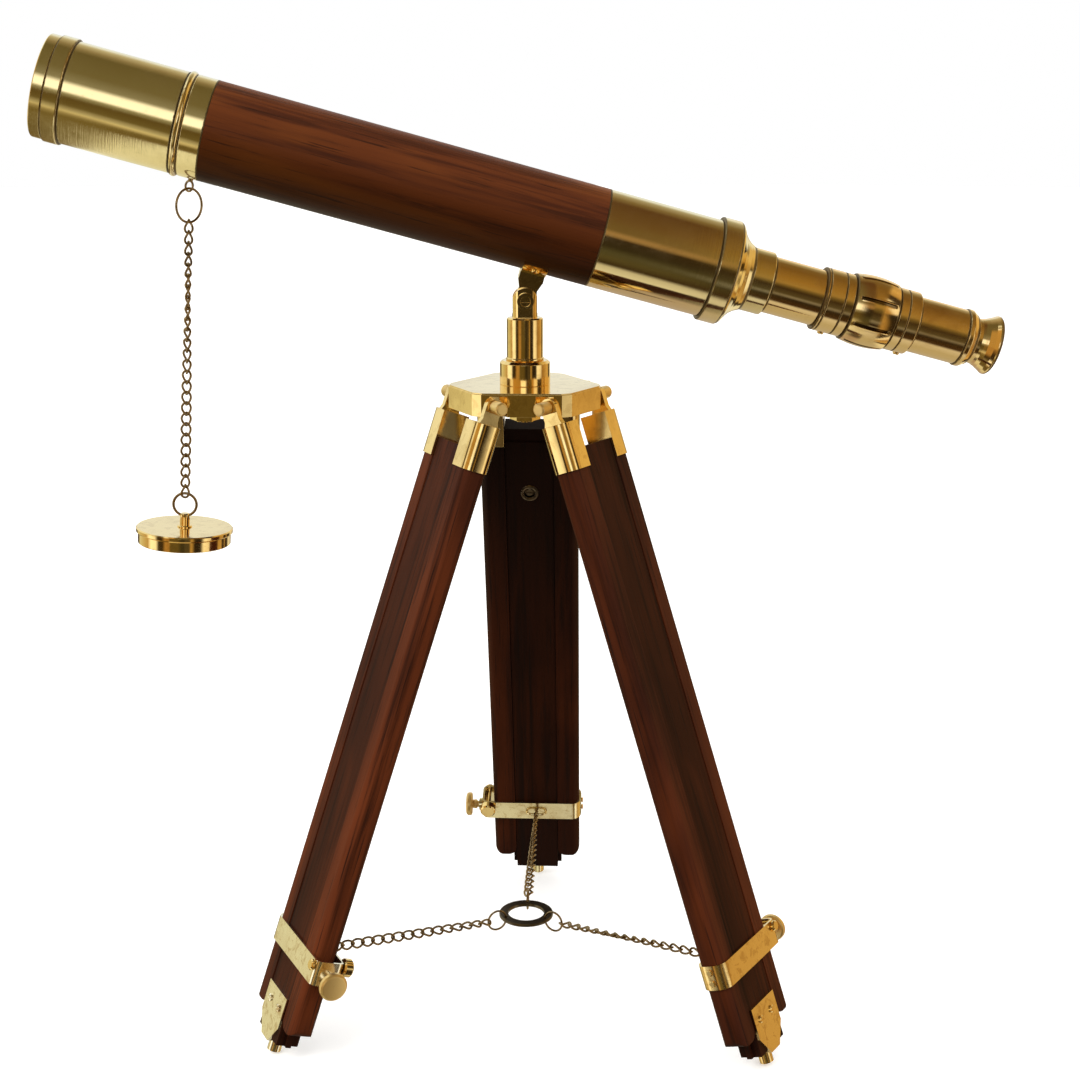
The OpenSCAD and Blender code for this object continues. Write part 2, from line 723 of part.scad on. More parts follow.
module tube_saddle() {
    seat_r = tube_r;
    color(brass) scope_frame() difference() {
        union() {
            rotate([0, 0, -saddle_wrap])
                translate([0, 0, pivot_from_rim - saddle_len / 2])
                    rotate_extrude(angle = 2 * saddle_wrap, $fn = fine)
                        translate([seat_r, 0]) square([saddle_t, saddle_len]);
            translate([seat_r + saddle_t / 2, -4.2, pivot_from_rim - saddle_len / 2])
                cube([3.4, 8.4, saddle_len]);
            translate([0, 0, pivot_from_rim]) rotate([90, 0, 0])
                linear_extrude(tongue_t, center = true) tongue_outline();
        }
        cylinder(r = seat_r, h = scope_len, $fn = fine);
        translate([axis_rise, 0, pivot_from_rim]) rotate([90, 0, 0])
            cylinder(r = tilt_r + run_fit, h = 20, center = true, $fn = 64);
        saddle_screw_holes();
    }
}

module tongue_outline() {
    root_x = tube_r + saddle_t;
    polygon([
        [root_x, -saddle_len / 2], [root_x + 3, -saddle_len / 2],
        [axis_rise - tongue_r, -tongue_r + 1.1], [axis_rise, -tongue_r],
        [axis_rise, tongue_r], [axis_rise - tongue_r, tongue_r - 1.1],
        [root_x + 3, saddle_len / 2], [root_x, saddle_len / 2]
    ]);
    translate([axis_rise, 0]) circle(tongue_r, $fn = 64);
}

module saddle_screws() {
    color(brass) scope_frame() for (side = [-1, 1])
        rotate([0, 0, side * (saddle_wrap - 10)])
            translate([tube_r + saddle_t, 0, pivot_from_rim]) rotate([0, 90, 0]) {
                slotted_head(1.4, 0.9);
                translate([0, 0, -saddle_t - 2]) cylinder(r = 0.8, h = saddle_t + 2, $fn = 32);
            }
}

// Clevis, round post and threaded shaft, turned from one bar.
module turning_post() {
    slot_t = tongue_t + 2 * run_fit;
    color(brass) post_frame() difference() {
        union() {
            intersection() {
                translate([0, 0, -clevis_rise - cut])
                    cylinder(r = clevis_r, h = clevis_rise + clevis_r + cut, $fn = fine);
                union() {
                    translate([-clevis_r, -clevis_flat, -clevis_rise - cut])
                        cube([clevis_d, 2 * clevis_flat, clevis_rise + cut]);
                    rotate([90, 0, 0])
                        cylinder(r = clevis_r, h = 2 * clevis_flat, center = true, $fn = 64);
                }
            }
            tube(post_r, 0, -clevis_rise - post_len, -clevis_rise, 0.6);
            tube(post_r + 0.4, 0, -clevis_rise - post_len, -clevis_rise - post_len + 1.3, 0.3);
            translate([0, 0, boss_top - pivot_z - boss_h - plate_up - plate_down - 7])
                cylinder(r = shaft_r, h = boss_h + plate_up + plate_down + 8, $fn = fine);
        }
        translate([-post_r, -slot_t / 2, -tongue_r - 0.5])
            cube([post_d, slot_t, clevis_rise + clevis_d]);
        rotate([90, 0, 0]) cylinder(r = tilt_r + run_fit, h = post_d, center = true, $fn = 64);
    }
}

module tilt_screw() {
    head_y = clevis_flat;
    color(brass) post_frame() {
        rotate([90, 0, 0]) difference() {
            union() {
                translate([0, 0, -head_y - 3.2]) cylinder(r = tilt_r, h = 2 * head_y + 3.2, $fn = 64);
                translate([0, 0, head_y]) cylinder(r = tilt_head_d / 2, h = 1.6, $fn = 64);
            }
            translate([0, 0, head_y + 0.7]) cylinder(r = tilt_head_d / 2 - 1.5, h = 2, $fn = 64);
            translate([-tilt_head_d / 2, -0.5, head_y + 0.2]) cube([tilt_head_d, 1, 0.6]);
        }
    }
}

module tilt_nut() {
    color(brass) post_frame() rotate([-90, 0, 0]) difference() {
        translate([0, 0, clevis_flat]) cylinder(r = 3.7, h = 2.6, $fn = 6);
        cylinder(r = tilt_r, h = 20, $fn = 64);
    }
}

// Six-sided plate with its corners cut, a boss on top and three leg bearings.
module head_plate() {
    color(brass) translate([stand_x, stand_y, 0]) difference() {
        union() {
            translate([0, 0, hinge_z - plate_down])
                linear_extrude(plate_up + plate_down - 0.6) polygon(plate_outline(plate_r));
            translate([0, 0, plate_top - 0.7])
                linear_extrude(0.7) polygon(plate_outline(plate_r - 0.5));
            tube(boss_d / 2, 0, plate_top - cut, boss_top, 1.2);
        }
        cylinder(r = shaft_r + run_fit, h = boss_top + cut, $fn = fine);
        for (k = [0 : 2]) rotate([0, 0, azimuth[k]]) translate([hinge_r, 0, hinge_z]) {
            rotate([90, 0, 0]) cylinder(r = pin_r + run_fit, h = 90, center = true, $fn = 64);
            for (side = [-1, 1]) lug_slot(side);
        }
    }
}

// Room under the plate's skin for a leg lug and its pin head.
module lug_slot(side) {
    slot_in = lug_in - side_gap;
    slot_x = -lug_r - 2;
    slot_top = plate_up - plate_skin;
    translate([slot_x, side > 0 ? slot_in : -slot_in - 20, -20]) cube([30, 20, 20 + slot_top]);
}

function corner_angles() = [
    for (k = [0 : 2], side = [-1, 1]) azimuth[k] + side * plate_corner
];
function corner_point(r, i) = r * [cos(corner_angles()[(i + 6) % 6]), sin(corner_angles()[(i + 6) % 6])];
function step_towards(a, b, d) = a + (b - a) * d / norm(b - a);
function plate_outline(r) = [
    for (i = [0 : 5], j = [-1, 1])
        step_towards(corner_point(r, i), corner_point(r, i + j), plate_cut)
];

module post_nut() {
    nut_z = hinge_z - plate_down;
    color(brass) translate([stand_x, stand_y, 0]) {
        tube(8.4, shaft_r, nut_z - side_gap - 1.2, nut_z - side_gap);
        difference() {
            translate([0, 0, nut_z - side_gap - 5.7]) cylinder(r = 7.2, h = 4.5, $fn = 6);
            cylinder(r = shaft_r, h = boss_top, $fn = fine);
        }
    }
}

// ---- Legs ----

module leg_pin(k) {
    end_y = pin_head_y + pin_head_len;
    head_r = pin_head_d / 2;
    color(brass) side_frame(k) translate([hinge_r, 0, hinge_z]) rotate([90, 0, 0]) {
        cylinder(r = pin_r, h = 2 * pin_head_y + cut, center = true, $fn = 64);
        for (turn = [0, 180]) rotate([turn, 0, 0])
            tube(head_r, 0, pin_head_y, end_y, 0.6);
    }
}

module side_half(side, t, inner_y) {
    translate([-t, side > 0 ? inner_y : -inner_y - leg_w]) square([2 * t, leg_w]);
}

module outer_slat_profile(side, inner_y) {
    intersection() {
        rounded_slab(leg_t, leg_w, slat_round);
        side_half(side, leg_t, inner_y);
    }
}

module outer_slats(k) {
    top = -ferrule_top - ferrule_cap;
    ferrule_end = -ferrule_top - ferrule_len;
    color(leg_wood) leg_frame(k) for (side = [-1, 1]) difference() {
        intersection() {
            union() {
                translate([0, 0, -outer_end])
                    linear_extrude(outer_end + ferrule_end)
                        outer_slat_profile(side, slat_gap_y);
                translate([0, 0, ferrule_end - cut])
                    linear_extrude(top - ferrule_end + cut)
                        outer_slat_profile(side, slat_gap_y + ferrule_wall);
            }
            slat_end_rounding(side);
        }
        groove_y = slat_w / 2 + slat_tongue + side_gap;
        translate([
            -slat_tongue_t / 2 - side_gap, side > 0 ? 0 : -groove_y, -leg_len
        ]) cube([slat_tongue_t + 2 * side_gap, groove_y, leg_len + ferrule_end - groove_stop]);
    }
}

// Outline that rounds the two lower corners of an outer slat, seen square to the leg.
module slat_end_rounding(side) {
    width = leg_w / 2 - slat_gap_y;
    corner = width * 0.38;
    mid_y = side * (slat_gap_y + width / 2);
    rotate([90, 0, 90]) linear_extrude(2 * leg_t, center = true) {
        translate([mid_y - width, -outer_end + corner]) square([2 * width, outer_end]);
        translate([mid_y - width / 2 + corner, -outer_end])
            square([width - 2 * corner, outer_end]);
        for (s = [-1, 1])
            translate([mid_y + s * (width / 2 - corner), -outer_end + corner])
                circle(corner, $fn = 48);
    }
}

// Two D-shaped sockets with the flat lugs that turn on the leg pin.
module ferrules(k) {
    end = -ferrule_top - ferrule_len;
    color(brass) leg_frame(k) for (side = [-1, 1]) difference() {
        union() {
            translate([0, 0, end]) linear_extrude(ferrule_len) intersection() {
                rounded_slab(leg_t + 2 * ferrule_wall, leg_w + 2 * ferrule_wall,
                    slat_round + ferrule_wall);
                side_half(side, leg_t, slat_gap_y);
            }
            lug(side);
        }
        translate([0, 0, end - cut]) linear_extrude(ferrule_len - ferrule_cap + cut)
            outer_slat_profile(side, slat_gap_y + ferrule_wall);
        rotate([90, 0, 0]) cylinder(r = pin_r + run_fit, h = 90, center = true, $fn = 64);
    }
}

module lug(side) {
    lug_y = side > 0 ? lug_in : -lug_in - lug_t;
    translate([0, lug_y + lug_t, 0]) rotate([90, 0, 0]) linear_extrude(lug_t) {
        circle(lug_r, $fn = 64);
        polygon([
            [-lug_r, 0], [-lug_r, -ferrule_top + 2.2], [-lug_r - 1.2, -ferrule_top - cut],
            [lug_r + 1.2, -ferrule_top - cut], [lug_r, -ferrule_top + 2.2], [lug_r, 0]
        ]);
    }
}

module centre_slat(k) {
    color(leg_wood) leg_frame(k) difference() {
        union() {
            translate([0, 0, -slat_end]) linear_extrude(slat_end - slat_top)
                square([slat_t, slat_w], center = true);
            translate([0, 0, -slat_end])
                linear_extrude(slat_end - ferrule_top - ferrule_len - groove_stop - side_gap)
                    square([slat_tongue_t, slat_w + 2 * slat_tongue], center = true);
        }
        translate([-slat_t, -slat_w, -slat_top - 7])
            cube([slat_t / 2 + 0.8, 2 * slat_w, 7 + cut]);
        translate([0, 0, -slat_end - cut]) cylinder(r = 1.5, h = 10 + cut, $fn = 48);
        translate([-slat_t, 0, -eyelet_down]) rotate([0, 90, 0])
            cylinder(r = eyelet_d / 2 - 1.6, h = slat_t / 2 + 1.8, $fn = 48);
        for (side = [-1, 1]) translate([slat_t / 2 - 3, side * 5.5, -slat_end + shoe_len - 7])
            rotate([0, 90, 0]) cylinder(r = 0.9, h = 5, $fn = 32);
    }
}

// Rolled brass eyelet with a slotted screw at the bottom of its hole.
module slat_eyelet(k) {
    eye_r_out = eyelet_d / 2;
    color(brass) leg_frame(k) translate([-slat_t / 2, 0, -eyelet_down]) rotate([0, -90, 0]) {
        turned([
            [eye_r_out - 1.8, -1.5], [eye_r_out - 1.6, -1.5], [eye_r_out - 1.6, 0],
            [eye_r_out, 0], [eye_r_out - 0.3, 0.5], [eye_r_out - 0.9, 0.7],
            [eye_r_out - 1.5, 0.5], [eye_r_out - 1.8, 0]
        ]);
        translate([0, 0, -1.8]) slotted_head(eye_r_out - 2, 1.4);
    }
}

// Shoe plate bent under the slat's end, with its stud and two screws.
module shoe(k) {
    face_x = slat_t / 2;
    low = -slat_end;
    half = slat_w / 2 - 0.4;
    toe = stud_d / 2 + 0.9;
    color(brass) leg_frame(k) {
        difference() {
            union() {
                translate([face_x, 0, 0]) rotate([90, 0, 90]) linear_extrude(shoe_t)
                    polygon([
                        [-half, low + shoe_len], [half, low + shoe_len], [half, low + 8],
                        [toe, low - shoe_t], [-toe, low - shoe_t], [-half, low + 8]
                    ]);
                translate([-toe, -toe, low - shoe_t]) cube([toe + face_x + cut, 2 * toe, shoe_t]);
            }
            shoe_screw_places() translate([0, 0, -shoe_t - cut])
                cylinder(r = 0.9, h = shoe_t + 2 * cut, $fn = 32);
        }
        translate([0, 0, -leg_len]) cylinder(r = stud_d / 2, h = stud_len - shoe_t, $fn = 64);
        translate([0, 0, low - cut]) cylinder(r = 1.5, h = 9, $fn = 48);
        shoe_screw_places() {
            slotted_head(1.9, 1);
            translate([0, 0, -shoe_t - 2]) cylinder(r = 0.9, h = shoe_t + 2, $fn = 32);
        }
    }
}

module shoe_screw_places() {
    for (side = [-1, 1])
        translate([slat_t / 2 + shoe_t, side * 5.5, -slat_end + shoe_len - 7])
            rotate([0, 90, 0]) children();
}

// Strap round the three slats, with a pocket for the thumb screw and a loop for the chain.
module band(k) {
    color(brass) leg_frame(k) translate([0, 0, -band_down]) difference() {
        union() {
            translate([0, 0, -band_h / 2]) linear_extrude(band_h) difference() {
                band_outline(band_fit + band_t);
                band_outline(band_fit);
            }
            chain_loop();
            translate([0, pocket_y - cut, band_down - thumb_down]) rotate([-90, 0, 0])
                cylinder(r = 3.4, h = 2.2 + cut, $fn = 64);
        }
        translate([0, pocket_y - 3, band_down - thumb_down]) rotate([-90, 0, 0])
            cylinder(r = thumb_r + run_fit, h = 9, $fn = 64);
        translate([0, bolt_y, band_down - bolt_down]) rotate([0, 90, 0])
            cylinder(r = bolt_r, h = 4 * leg_t, center = true, $fn = 48);
        for (z = [-2.6, 2.6]) translate([0, -leg_w / 2, z]) rotate([90, 0, 0])
            cylinder(r = 0.8, h = 4, $fn = 32);
    }
}

module band_outline(grow) {
    rounded_slab(leg_t + 2 * grow, leg_w + 2 * grow, slat_round + grow);
    translate([0, pocket_y - band_fit - band_t + grow - 8])
        rounded_slab(leg_t + 2 * grow, 16, 2 + grow);
}

// Round bar that stands off the band's inner face on two bent ends.
module chain_loop() {
    bend = loop_out;
    reach = 2.6;
    translate([-band_out_x, 0, 0]) {
        for (side = [-1, 1])
            translate([0, side * reach, 0]) scale([-1, side, 1])
                rotate_extrude(angle = 90, $fn = fine)
                    translate([bend, 0]) circle(loop_wire / 2, $fn = 48);
        translate([-bend, -reach, 0]) rotate([-90, 0, 0])
            cylinder(r = loop_wire / 2, h = 2 * reach, $fn = 48);
    }
}

// Two rivets on the plain side, and the bolt that closes the pocket.
module band_rivets(k) {
    color(brass) leg_frame(k) translate([0, 0, -band_down]) {
        for (z = [-2.6, 2.6]) translate([0, -band_out_y, z]) rotate([90, 0, 0]) {
            tube(1.6, 0, 0, 0.9, 0.5);
            translate([0, 0, -band_t]) cylinder(r = 0.8, h = band_t + 0.1, $fn = 32);
        }
        translate([0, bolt_y, band_down - bolt_down]) rotate([0, -90, 0]) {
            cylinder(r = bolt_r, h = 2 * band_out_x + cut, center = true, $fn = 48);
            tube(4.2, 0, band_out_x, band_out_x + 4.6, 0.7);
            rotate([180, 0, 0]) tube(2.6, 0, band_out_x, band_out_x + 1.8, 0.6);
        }
    }
}

module thumb_screw(k) {
    tip_y = leg_w / 2;
    head_y = pocket_y + 6.2;
    color(brass) leg_frame(k) translate([0, 0, -thumb_down]) rotate([-90, 0, 0])
        turned([
            [0, tip_y + 0.02], [thumb_r - 0.4, tip_y + 0.02], [thumb_r, tip_y + 0.5],
            [thumb_r, pocket_y + 3.4], [2.6, pocket_y + 3.4], [2.6, pocket_y + 4.6],
            [2.2, head_y], [thumb_d / 2 - 0.6, head_y], [thumb_d / 2, head_y + 0.6],
            [thumb_d / 2, head_y + 2.4], [thumb_d / 2 - 0.9, head_y + 3.3], [0, head_y + 3.7]
        ]);
}

// ---- Spreader chains and lens cap ----

// Chain from the band's loop to a jump ring in the spreader ring.
module spreader_chain(k) {
    color(old_brass) side_frame(k) {
        translate([chain_start_x, 0, chain_start_z]) rotate([0, -chain_drop, 0])
            chain(spreader_links, spreader_pitch);
        translate([jump_x, 0, spreader_z]) rotate([90, 0, 0]) torus(jump_r, wire_d);
    }
}

module spreader_ring() {
    color(dark_brass) translate([stand_x, stand_y, 0]) difference() {
        tube(spreader_r, spreader_r - spreader_band, spreader_z - spreader_t / 2,
            spreader_z + spreader_t / 2, 0.3);
        for (k = [0 : 2]) rotate([0, 0, azimuth[k]])
            translate([spreader_hole_r, 0, spreader_z])
                cylinder(r = wire_r + 0.5, h = 4, center = true, $fn = 48);
    }
}

module hanger_ring() {
    color(old_brass) hang_frame() translate([0, 0, -hanger_r])
        rotate([0, 0, hanger_turn]) rotate([90, 0, 0]) torus(hanger_r, hanger_wire);
}

// Hanging chain with the ring that holds the lens cap.
module cap_chain() {
    color(old_brass) hang_frame() {
        translate([0, 0, cap_chain_top]) rotate([0, -90, 0]) rotate([hanger_turn, 0, 0])
            chain(cap_links, cap_pitch);
        translate([0, 0, cap_ring_top - cap_ring_r]) rotate([90, 0, 0])
            torus(cap_ring_r, cap_ring_wire);
    }
}

// Cap with a drilled post, a lip that stops on the rim and a skirt that fits the bore.
module lens_cap() {
    skirt_r = cap_bore_r - run_fit;
    wall = 1;
    color(brass) hang_frame() translate([0, 0, cap_top]) difference() {
        union() {
            tube(2.3, 0, -cut, cap_post_len, 0.5);
            tube(3.4, 0, -cut, 0.8, 0.4);
            tube(cap_d / 2, 0, -cap_lip_h, 0, 0.5);
            tube(skirt_r, 0, -cap_lip_h - cap_skirt_h, -cap_lip_h + 0.1, 0.3);
        }
        translate([0, 0, cap_hole_up]) rotate([0, 90, 0])
            cylinder(r = cap_hole_r, h = 20, center = true, $fn = 48);
        translate([0, 0, -cap_lip_h - cap_skirt_h - cut])
            cylinder(r = skirt_r - wall, h = cap_skirt_h + cap_lip_h - 1.2 + cut, $fn = fine);
    }
}

objective_cell();
objective_lens();
lens_retainer();
sunshade_barrel();
front_ferrule();
wood_tube();
baffle_tube();
rear_barrel();
draw_collar();
draw_tube();
erector_cell();
erector_lenses();
grip_barrel();
grip_screws();
eyepiece_tube();
eyepiece_lenses();
eyecup();
cap_hook();
tube_saddle();
saddle_screws();
turning_post();
tilt_screw();
tilt_nut();
head_plate();
post_nut();
spreader_ring();
hanger_ring();
cap_chain();
lens_cap();
for (k = [0 : 2]) {
    leg_pin(k);
    outer_slats(k);
    ferrules(k);
    centre_slat(k);
    slat_eyelet(k);
    shoe(k);
    band(k);
    band_rivets(k);
    thumb_screw(k);
    spreader_chain(k);
}
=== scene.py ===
import json
import math

import bmesh
import bpy
import numpy as np
from mathutils import Matrix, Vector


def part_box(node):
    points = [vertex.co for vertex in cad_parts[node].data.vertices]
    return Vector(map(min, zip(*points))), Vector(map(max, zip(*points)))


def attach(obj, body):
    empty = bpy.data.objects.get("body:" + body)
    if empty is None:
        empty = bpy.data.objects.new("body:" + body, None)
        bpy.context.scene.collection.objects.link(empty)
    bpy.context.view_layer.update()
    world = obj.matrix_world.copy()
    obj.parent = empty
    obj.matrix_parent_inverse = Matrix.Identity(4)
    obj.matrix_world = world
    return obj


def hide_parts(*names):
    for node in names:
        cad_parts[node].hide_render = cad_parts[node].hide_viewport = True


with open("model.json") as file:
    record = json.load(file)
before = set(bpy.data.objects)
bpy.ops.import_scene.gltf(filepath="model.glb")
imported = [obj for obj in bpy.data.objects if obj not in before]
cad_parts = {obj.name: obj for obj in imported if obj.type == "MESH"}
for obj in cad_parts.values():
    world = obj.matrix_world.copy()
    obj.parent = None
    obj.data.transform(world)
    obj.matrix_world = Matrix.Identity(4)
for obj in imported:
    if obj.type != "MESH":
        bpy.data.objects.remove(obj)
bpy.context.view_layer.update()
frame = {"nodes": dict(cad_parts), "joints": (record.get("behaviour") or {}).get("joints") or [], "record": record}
joints = {joint["name"]: joint for joint in frame["joints"]}
mounts = {mount["name"]: mount for mount in frame["record"]["mounts"]}
bodyOf = {node: body for body, nodes in frame["record"]["behaviour"]["bodies"].items() for node in nodes}
millimetre = 0.001
print("stage: frame loaded,", len(frame["nodes"]), "nodes")


class Place:
    # A local frame: origin in metres and three unit directions. Points are given in mm.
    def __init__(self, origin, x, y, z):
        self.origin = np.array(origin, float)
        self.turn = np.array([x, y, z], float)

    def put(self, points):
        return self.origin + (np.asarray(points, float) * millimetre) @ self.turn

    def shifted(self, x=0.0, y=0.0, z=0.0):
        return Place(self.put([x, y, z]), *self.turn)


def unit(vector):
    vector = np.array(vector, float)
    return vector / np.linalg.norm(vector)


tubeAxis = unit(joints["draw_slide"]["axis"])
crossAxis = unit(joints["tilt"]["axis"])
rim = np.array(mounts["objective_bore"]["pos_m"])
rim = rim - tubeAxis * mounts["objective_bore"]["dims"]["length_mm"] / 2 * millimetre
# In this frame x runs down, y across and z from the rim to the eyepiece.
scope = Place(rim, np.cross(crossAxis, tubeAxis), crossAxis, tubeAxis)
upright = np.array([0.0, 0.0, 1.0])
stand = Place([joints["pan"]["pos_m"][0], joints["pan"]["pos_m"][1], 0], [1, 0, 0], [0, 1, 0], upright)
sides = ["rear", "left", "right"]
legs = {}
for side in sides:
    up = -unit(joints[side + "_leg_extension"]["axis"])
    along = unit(joints[side + "_leg_fold"]["axis"])
    legs[side] = Place(joints[side + "_leg_fold"]["pos_m"], np.cross(along, up), along, up)


class Value:
    # One socket of a node tree; arithmetic on it adds Math nodes.
    def __init__(self, graph, socket):
        self.graph = graph
        self.socket = socket

    def math(self, operation, a, b=0.0, clamp=False):
        return self.graph.add("ShaderNodeMath", {"operation": operation, "use_clamp": clamp}, {0: a, 1: b})

    def __add__(self, other): return self.math("ADD", self, other)
    def __radd__(self, other): return self.math("ADD", other, self)
    def __sub__(self, other): return self.math("SUBTRACT", self, other)
    def __rsub__(self, other): return self.math("SUBTRACT", other, self)
    def __mul__(self, other): return self.math("MULTIPLY", self, other)
    def __rmul__(self, other): return self.math("MULTIPLY", other, self)
    def __truediv__(self, other): return self.math("DIVIDE", self, other)
    def clamped(self): return self.math("ADD", self, 0.0, True)
    def sine(self): return self.math("SINE", self)
    def absolute(self): return self.math("ABSOLUTE", self)

    def share(self, front):
        # the angle whose sine is this value and whose cosine is front, as a share of a full turn
        return self.math("ARCTAN2", self, front) / (2 * math.pi)


class Graph:
    # A node tree, and the one way in which nodes are added to it.
    def __init__(self, tree):
        self.tree = tree

    def plug(self, socket, value):
        if isinstance(value, Value):
            self.tree.links.new(value.socket, socket)
        elif isinstance(value, (tuple, list)) and len(value) == 3 and socket.type == "RGBA":
            socket.default_value = (*value, 1.0)
        else:
            socket.default_value = value

    def add(self, kind, settings=None, sockets=None, output=0):
        node = self.tree.nodes.new(kind)
        for name, value in (settings or {}).items():
            if name == "stops":
                ramp = node.color_ramp
                while len(ramp.elements) < len(value):
                    ramp.elements.new(1.0)
                for element, (place, colour) in zip(ramp.elements, value):
                    element.position = place
                    element.color = (*colour, 1.0)
            else:
                setattr(node, name, value)
        for name, value in (sockets or {}).items():
            self.plug(node.inputs[name], value)
        return Value(self, node.outputs[output]) if len(node.outputs) else None

    def dot(self, vector, direction):
        return self.add("ShaderNodeVectorMath", {"operation": "DOT_PRODUCT"}, {
            0: vector, 1: tuple(float(c) for c in direction)}, "Value")

    def coords(self, place=None, scale=(1.0, 1.0, 1.0)):
        # Object coordinates turned into a place's own frame, then stretched; in metres
        point = self.add("ShaderNodeTexCoord", output="Object")
        if place is not None:
            turn = Matrix(place.turn.tolist())
            shift = -(turn @ Vector(place.origin))
            point = self.add("ShaderNodeMapping", {"vector_type": "POINT"}, {
                "Vector": point, "Location": tuple(shift), "Rotation": tuple(turn.to_euler("XYZ"))})
        return self.add("ShaderNodeVectorMath", {"operation": "MULTIPLY"}, {0: point, 1: scale})

    def noise(self, vector, scale, detail, roughness=0.5, distortion=0.0):
        return self.add("ShaderNodeTexNoise", {"noise_dimensions": "3D"}, {
            "Vector": vector, "Scale": scale, "Detail": detail, "Roughness": roughness, "Distortion": distortion})

    def ramp(self, value, stops):
        return self.add("ShaderNodeValToRGB", {"stops": stops}, {0: value})

    def between(self, value, low, high, outLow=0.0, outHigh=1.0):
        return self.add("ShaderNodeMapRange", {"interpolation_type": "SMOOTHSTEP"}, {
            0: value, 1: low, 2: high, 3: outLow, 4: outHigh})

    def blend(self, mask, a, b):
        # colour a where the mask is 0, colour b where it is 1
        return self.add("ShaderNodeMix", {"data_type": "RGBA"}, {0: mask, 6: a, 7: b}, 2)

    def bump(self, height, distance, strength):
        return self.add("ShaderNodeBump", {}, {"Height": height, "Distance": distance, "Strength": strength})


class Finish(Graph):
    # A material with one Principled shader
    def __init__(self, name, **sockets):
        self.material = bpy.data.materials.new(name)
        self.material.use_nodes = True
        super().__init__(self.material.node_tree)
        self.shader = self.tree.nodes["Principled BSDF"]
        self.slot = None
        self.set(**sockets)

    def set(self, **sockets):
        for name, value in sockets.items():
            self.plug(self.shader.inputs[name.replace("_", " ")], value)


# Distances within which vertices are merged, in metres, and angles above which edges stay sharp.
weld = {"grid": 2e-6, "node": 1e-6, "sliver": 1e-6}
sharpFrom = {"turned": 35.0, "softened": 30.0, "wire": 80.0}


def gridMesh(name, grid, body):
    # Vertices are the grid's points, row by row; each cell becomes a quad, and both rows and
    # columns close on themselves. Doubles are merged and the faces turned outwards.
    rows, cols = grid.shape[:2]
    index = np.arange(rows * cols).reshape(rows, cols)
    index = np.vstack([index, index[:1]])
    index = np.hstack([index, index[:, :1]])
    quads = np.stack([index[:-1, :-1], index[:-1, 1:], index[1:, 1:], index[1:, :-1]], -1).reshape(-1, 4)
    mesh = bpy.data.meshes.new(name)
    mesh.from_pydata(grid.reshape(-1, 3).tolist(), [], quads.tolist())
    work = bmesh.new()
    work.from_mesh(mesh)
    bmesh.ops.remove_doubles(work, verts=work.verts, dist=weld["grid"])
    bmesh.ops.dissolve_degenerate(work, edges=work.edges, dist=weld["sliver"])
    bmesh.ops.recalc_face_normals(work, faces=work.faces)
    work.to_mesh(mesh)
    work.free()
    return finishedPiece(name, mesh, body, sharpFrom["turned"])


def finishedPiece(name, mesh, body, sharp):
    # Shaded smooth, but for edges that turn by more than the sharp angle, in degrees
    mesh.polygons.foreach_set("use_smooth", np.ones(len(mesh.polygons), bool))
    mesh.set_sharp_from_angle(angle=math.radians(sharp))
    piece = bpy.data.objects.new(name, mesh)
    bpy.context.scene.collection.objects.link(piece)
    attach(piece, body)
    return piece


def dress(piece, finish):
    piece.data.materials.clear()
    piece.data.materials.append(finish.material)
    return piece


def rounded(points, radii, steps=5, guard=0.12, straight=88, share=0.45):
    # Each corner of the outline becomes an arc tangent to both of its edges: its centre lies on
    # the bisector, at radius / sin(half angle); a guard point on each edge keeps the flats flat.
    # An arc takes no more than its share of an edge, and a nearly straight corner gets none.
    points = np.asarray(points, float)
    radii = np.broadcast_to(radii, len(points))
    before, after = np.roll(points, 1, 0), np.roll(points, -1, 0)
    out = []
    for p, a, b, r in zip(points, before, after, radii):
        da, db = unit(a - p), unit(b - p)
        half = math.acos(float(np.clip(da @ db, -1, 1))) / 2
        if r <= 0 or half > math.radians(straight):
            out.append(p[None])
            continue
        most = share * min(np.linalg.norm(a - p), np.linalg.norm(b - p))
        run = min(r / math.tan(half), most)
        r = run * math.tan(half)
        centre = p + unit(da + db) * (r / math.sin(half))
        start, end = p + da * run, p + db * run
        t = np.linspace(0, 1, steps + 1)[:, None]
        angle = math.pi / 2 - half
        spread = np.sin((1 - t) * 2 * angle) * (start - centre) + np.sin(t * 2 * angle) * (end - centre)
        lead = min(guard, 0.4 * most)
        out += [(start + da * lead)[None], centre + spread / math.sin(2 * angle), (end + db * lead)[None]]
    return np.vstack(out)


def spun(profile, turns):
    # Surface of revolution: (r, z) of the profile carried round the telescope's axis,
    # x = r cos a, y = r sin a.
    profile = np.asarray(profile, float)
    angle = np.linspace(0, 2 * np.pi, turns, endpoint=False)
    r, z = profile[:, :1], profile[:, 1:]
    return scope.put(np.stack([r * np.cos(angle), r * np.sin(angle), z + 0 * angle], -1))


def turnedPiece(name, body, points, radii, finish, turns, replaces):
    # The outline is a closed ring beside the axis
    piece = gridMesh(name, spun(rounded(points, radii), turns), body)
    dress(piece, finish)
    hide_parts(*replaces)


bevelValues = {"segments": 2, "from": 28.0, "flat": 0.6}


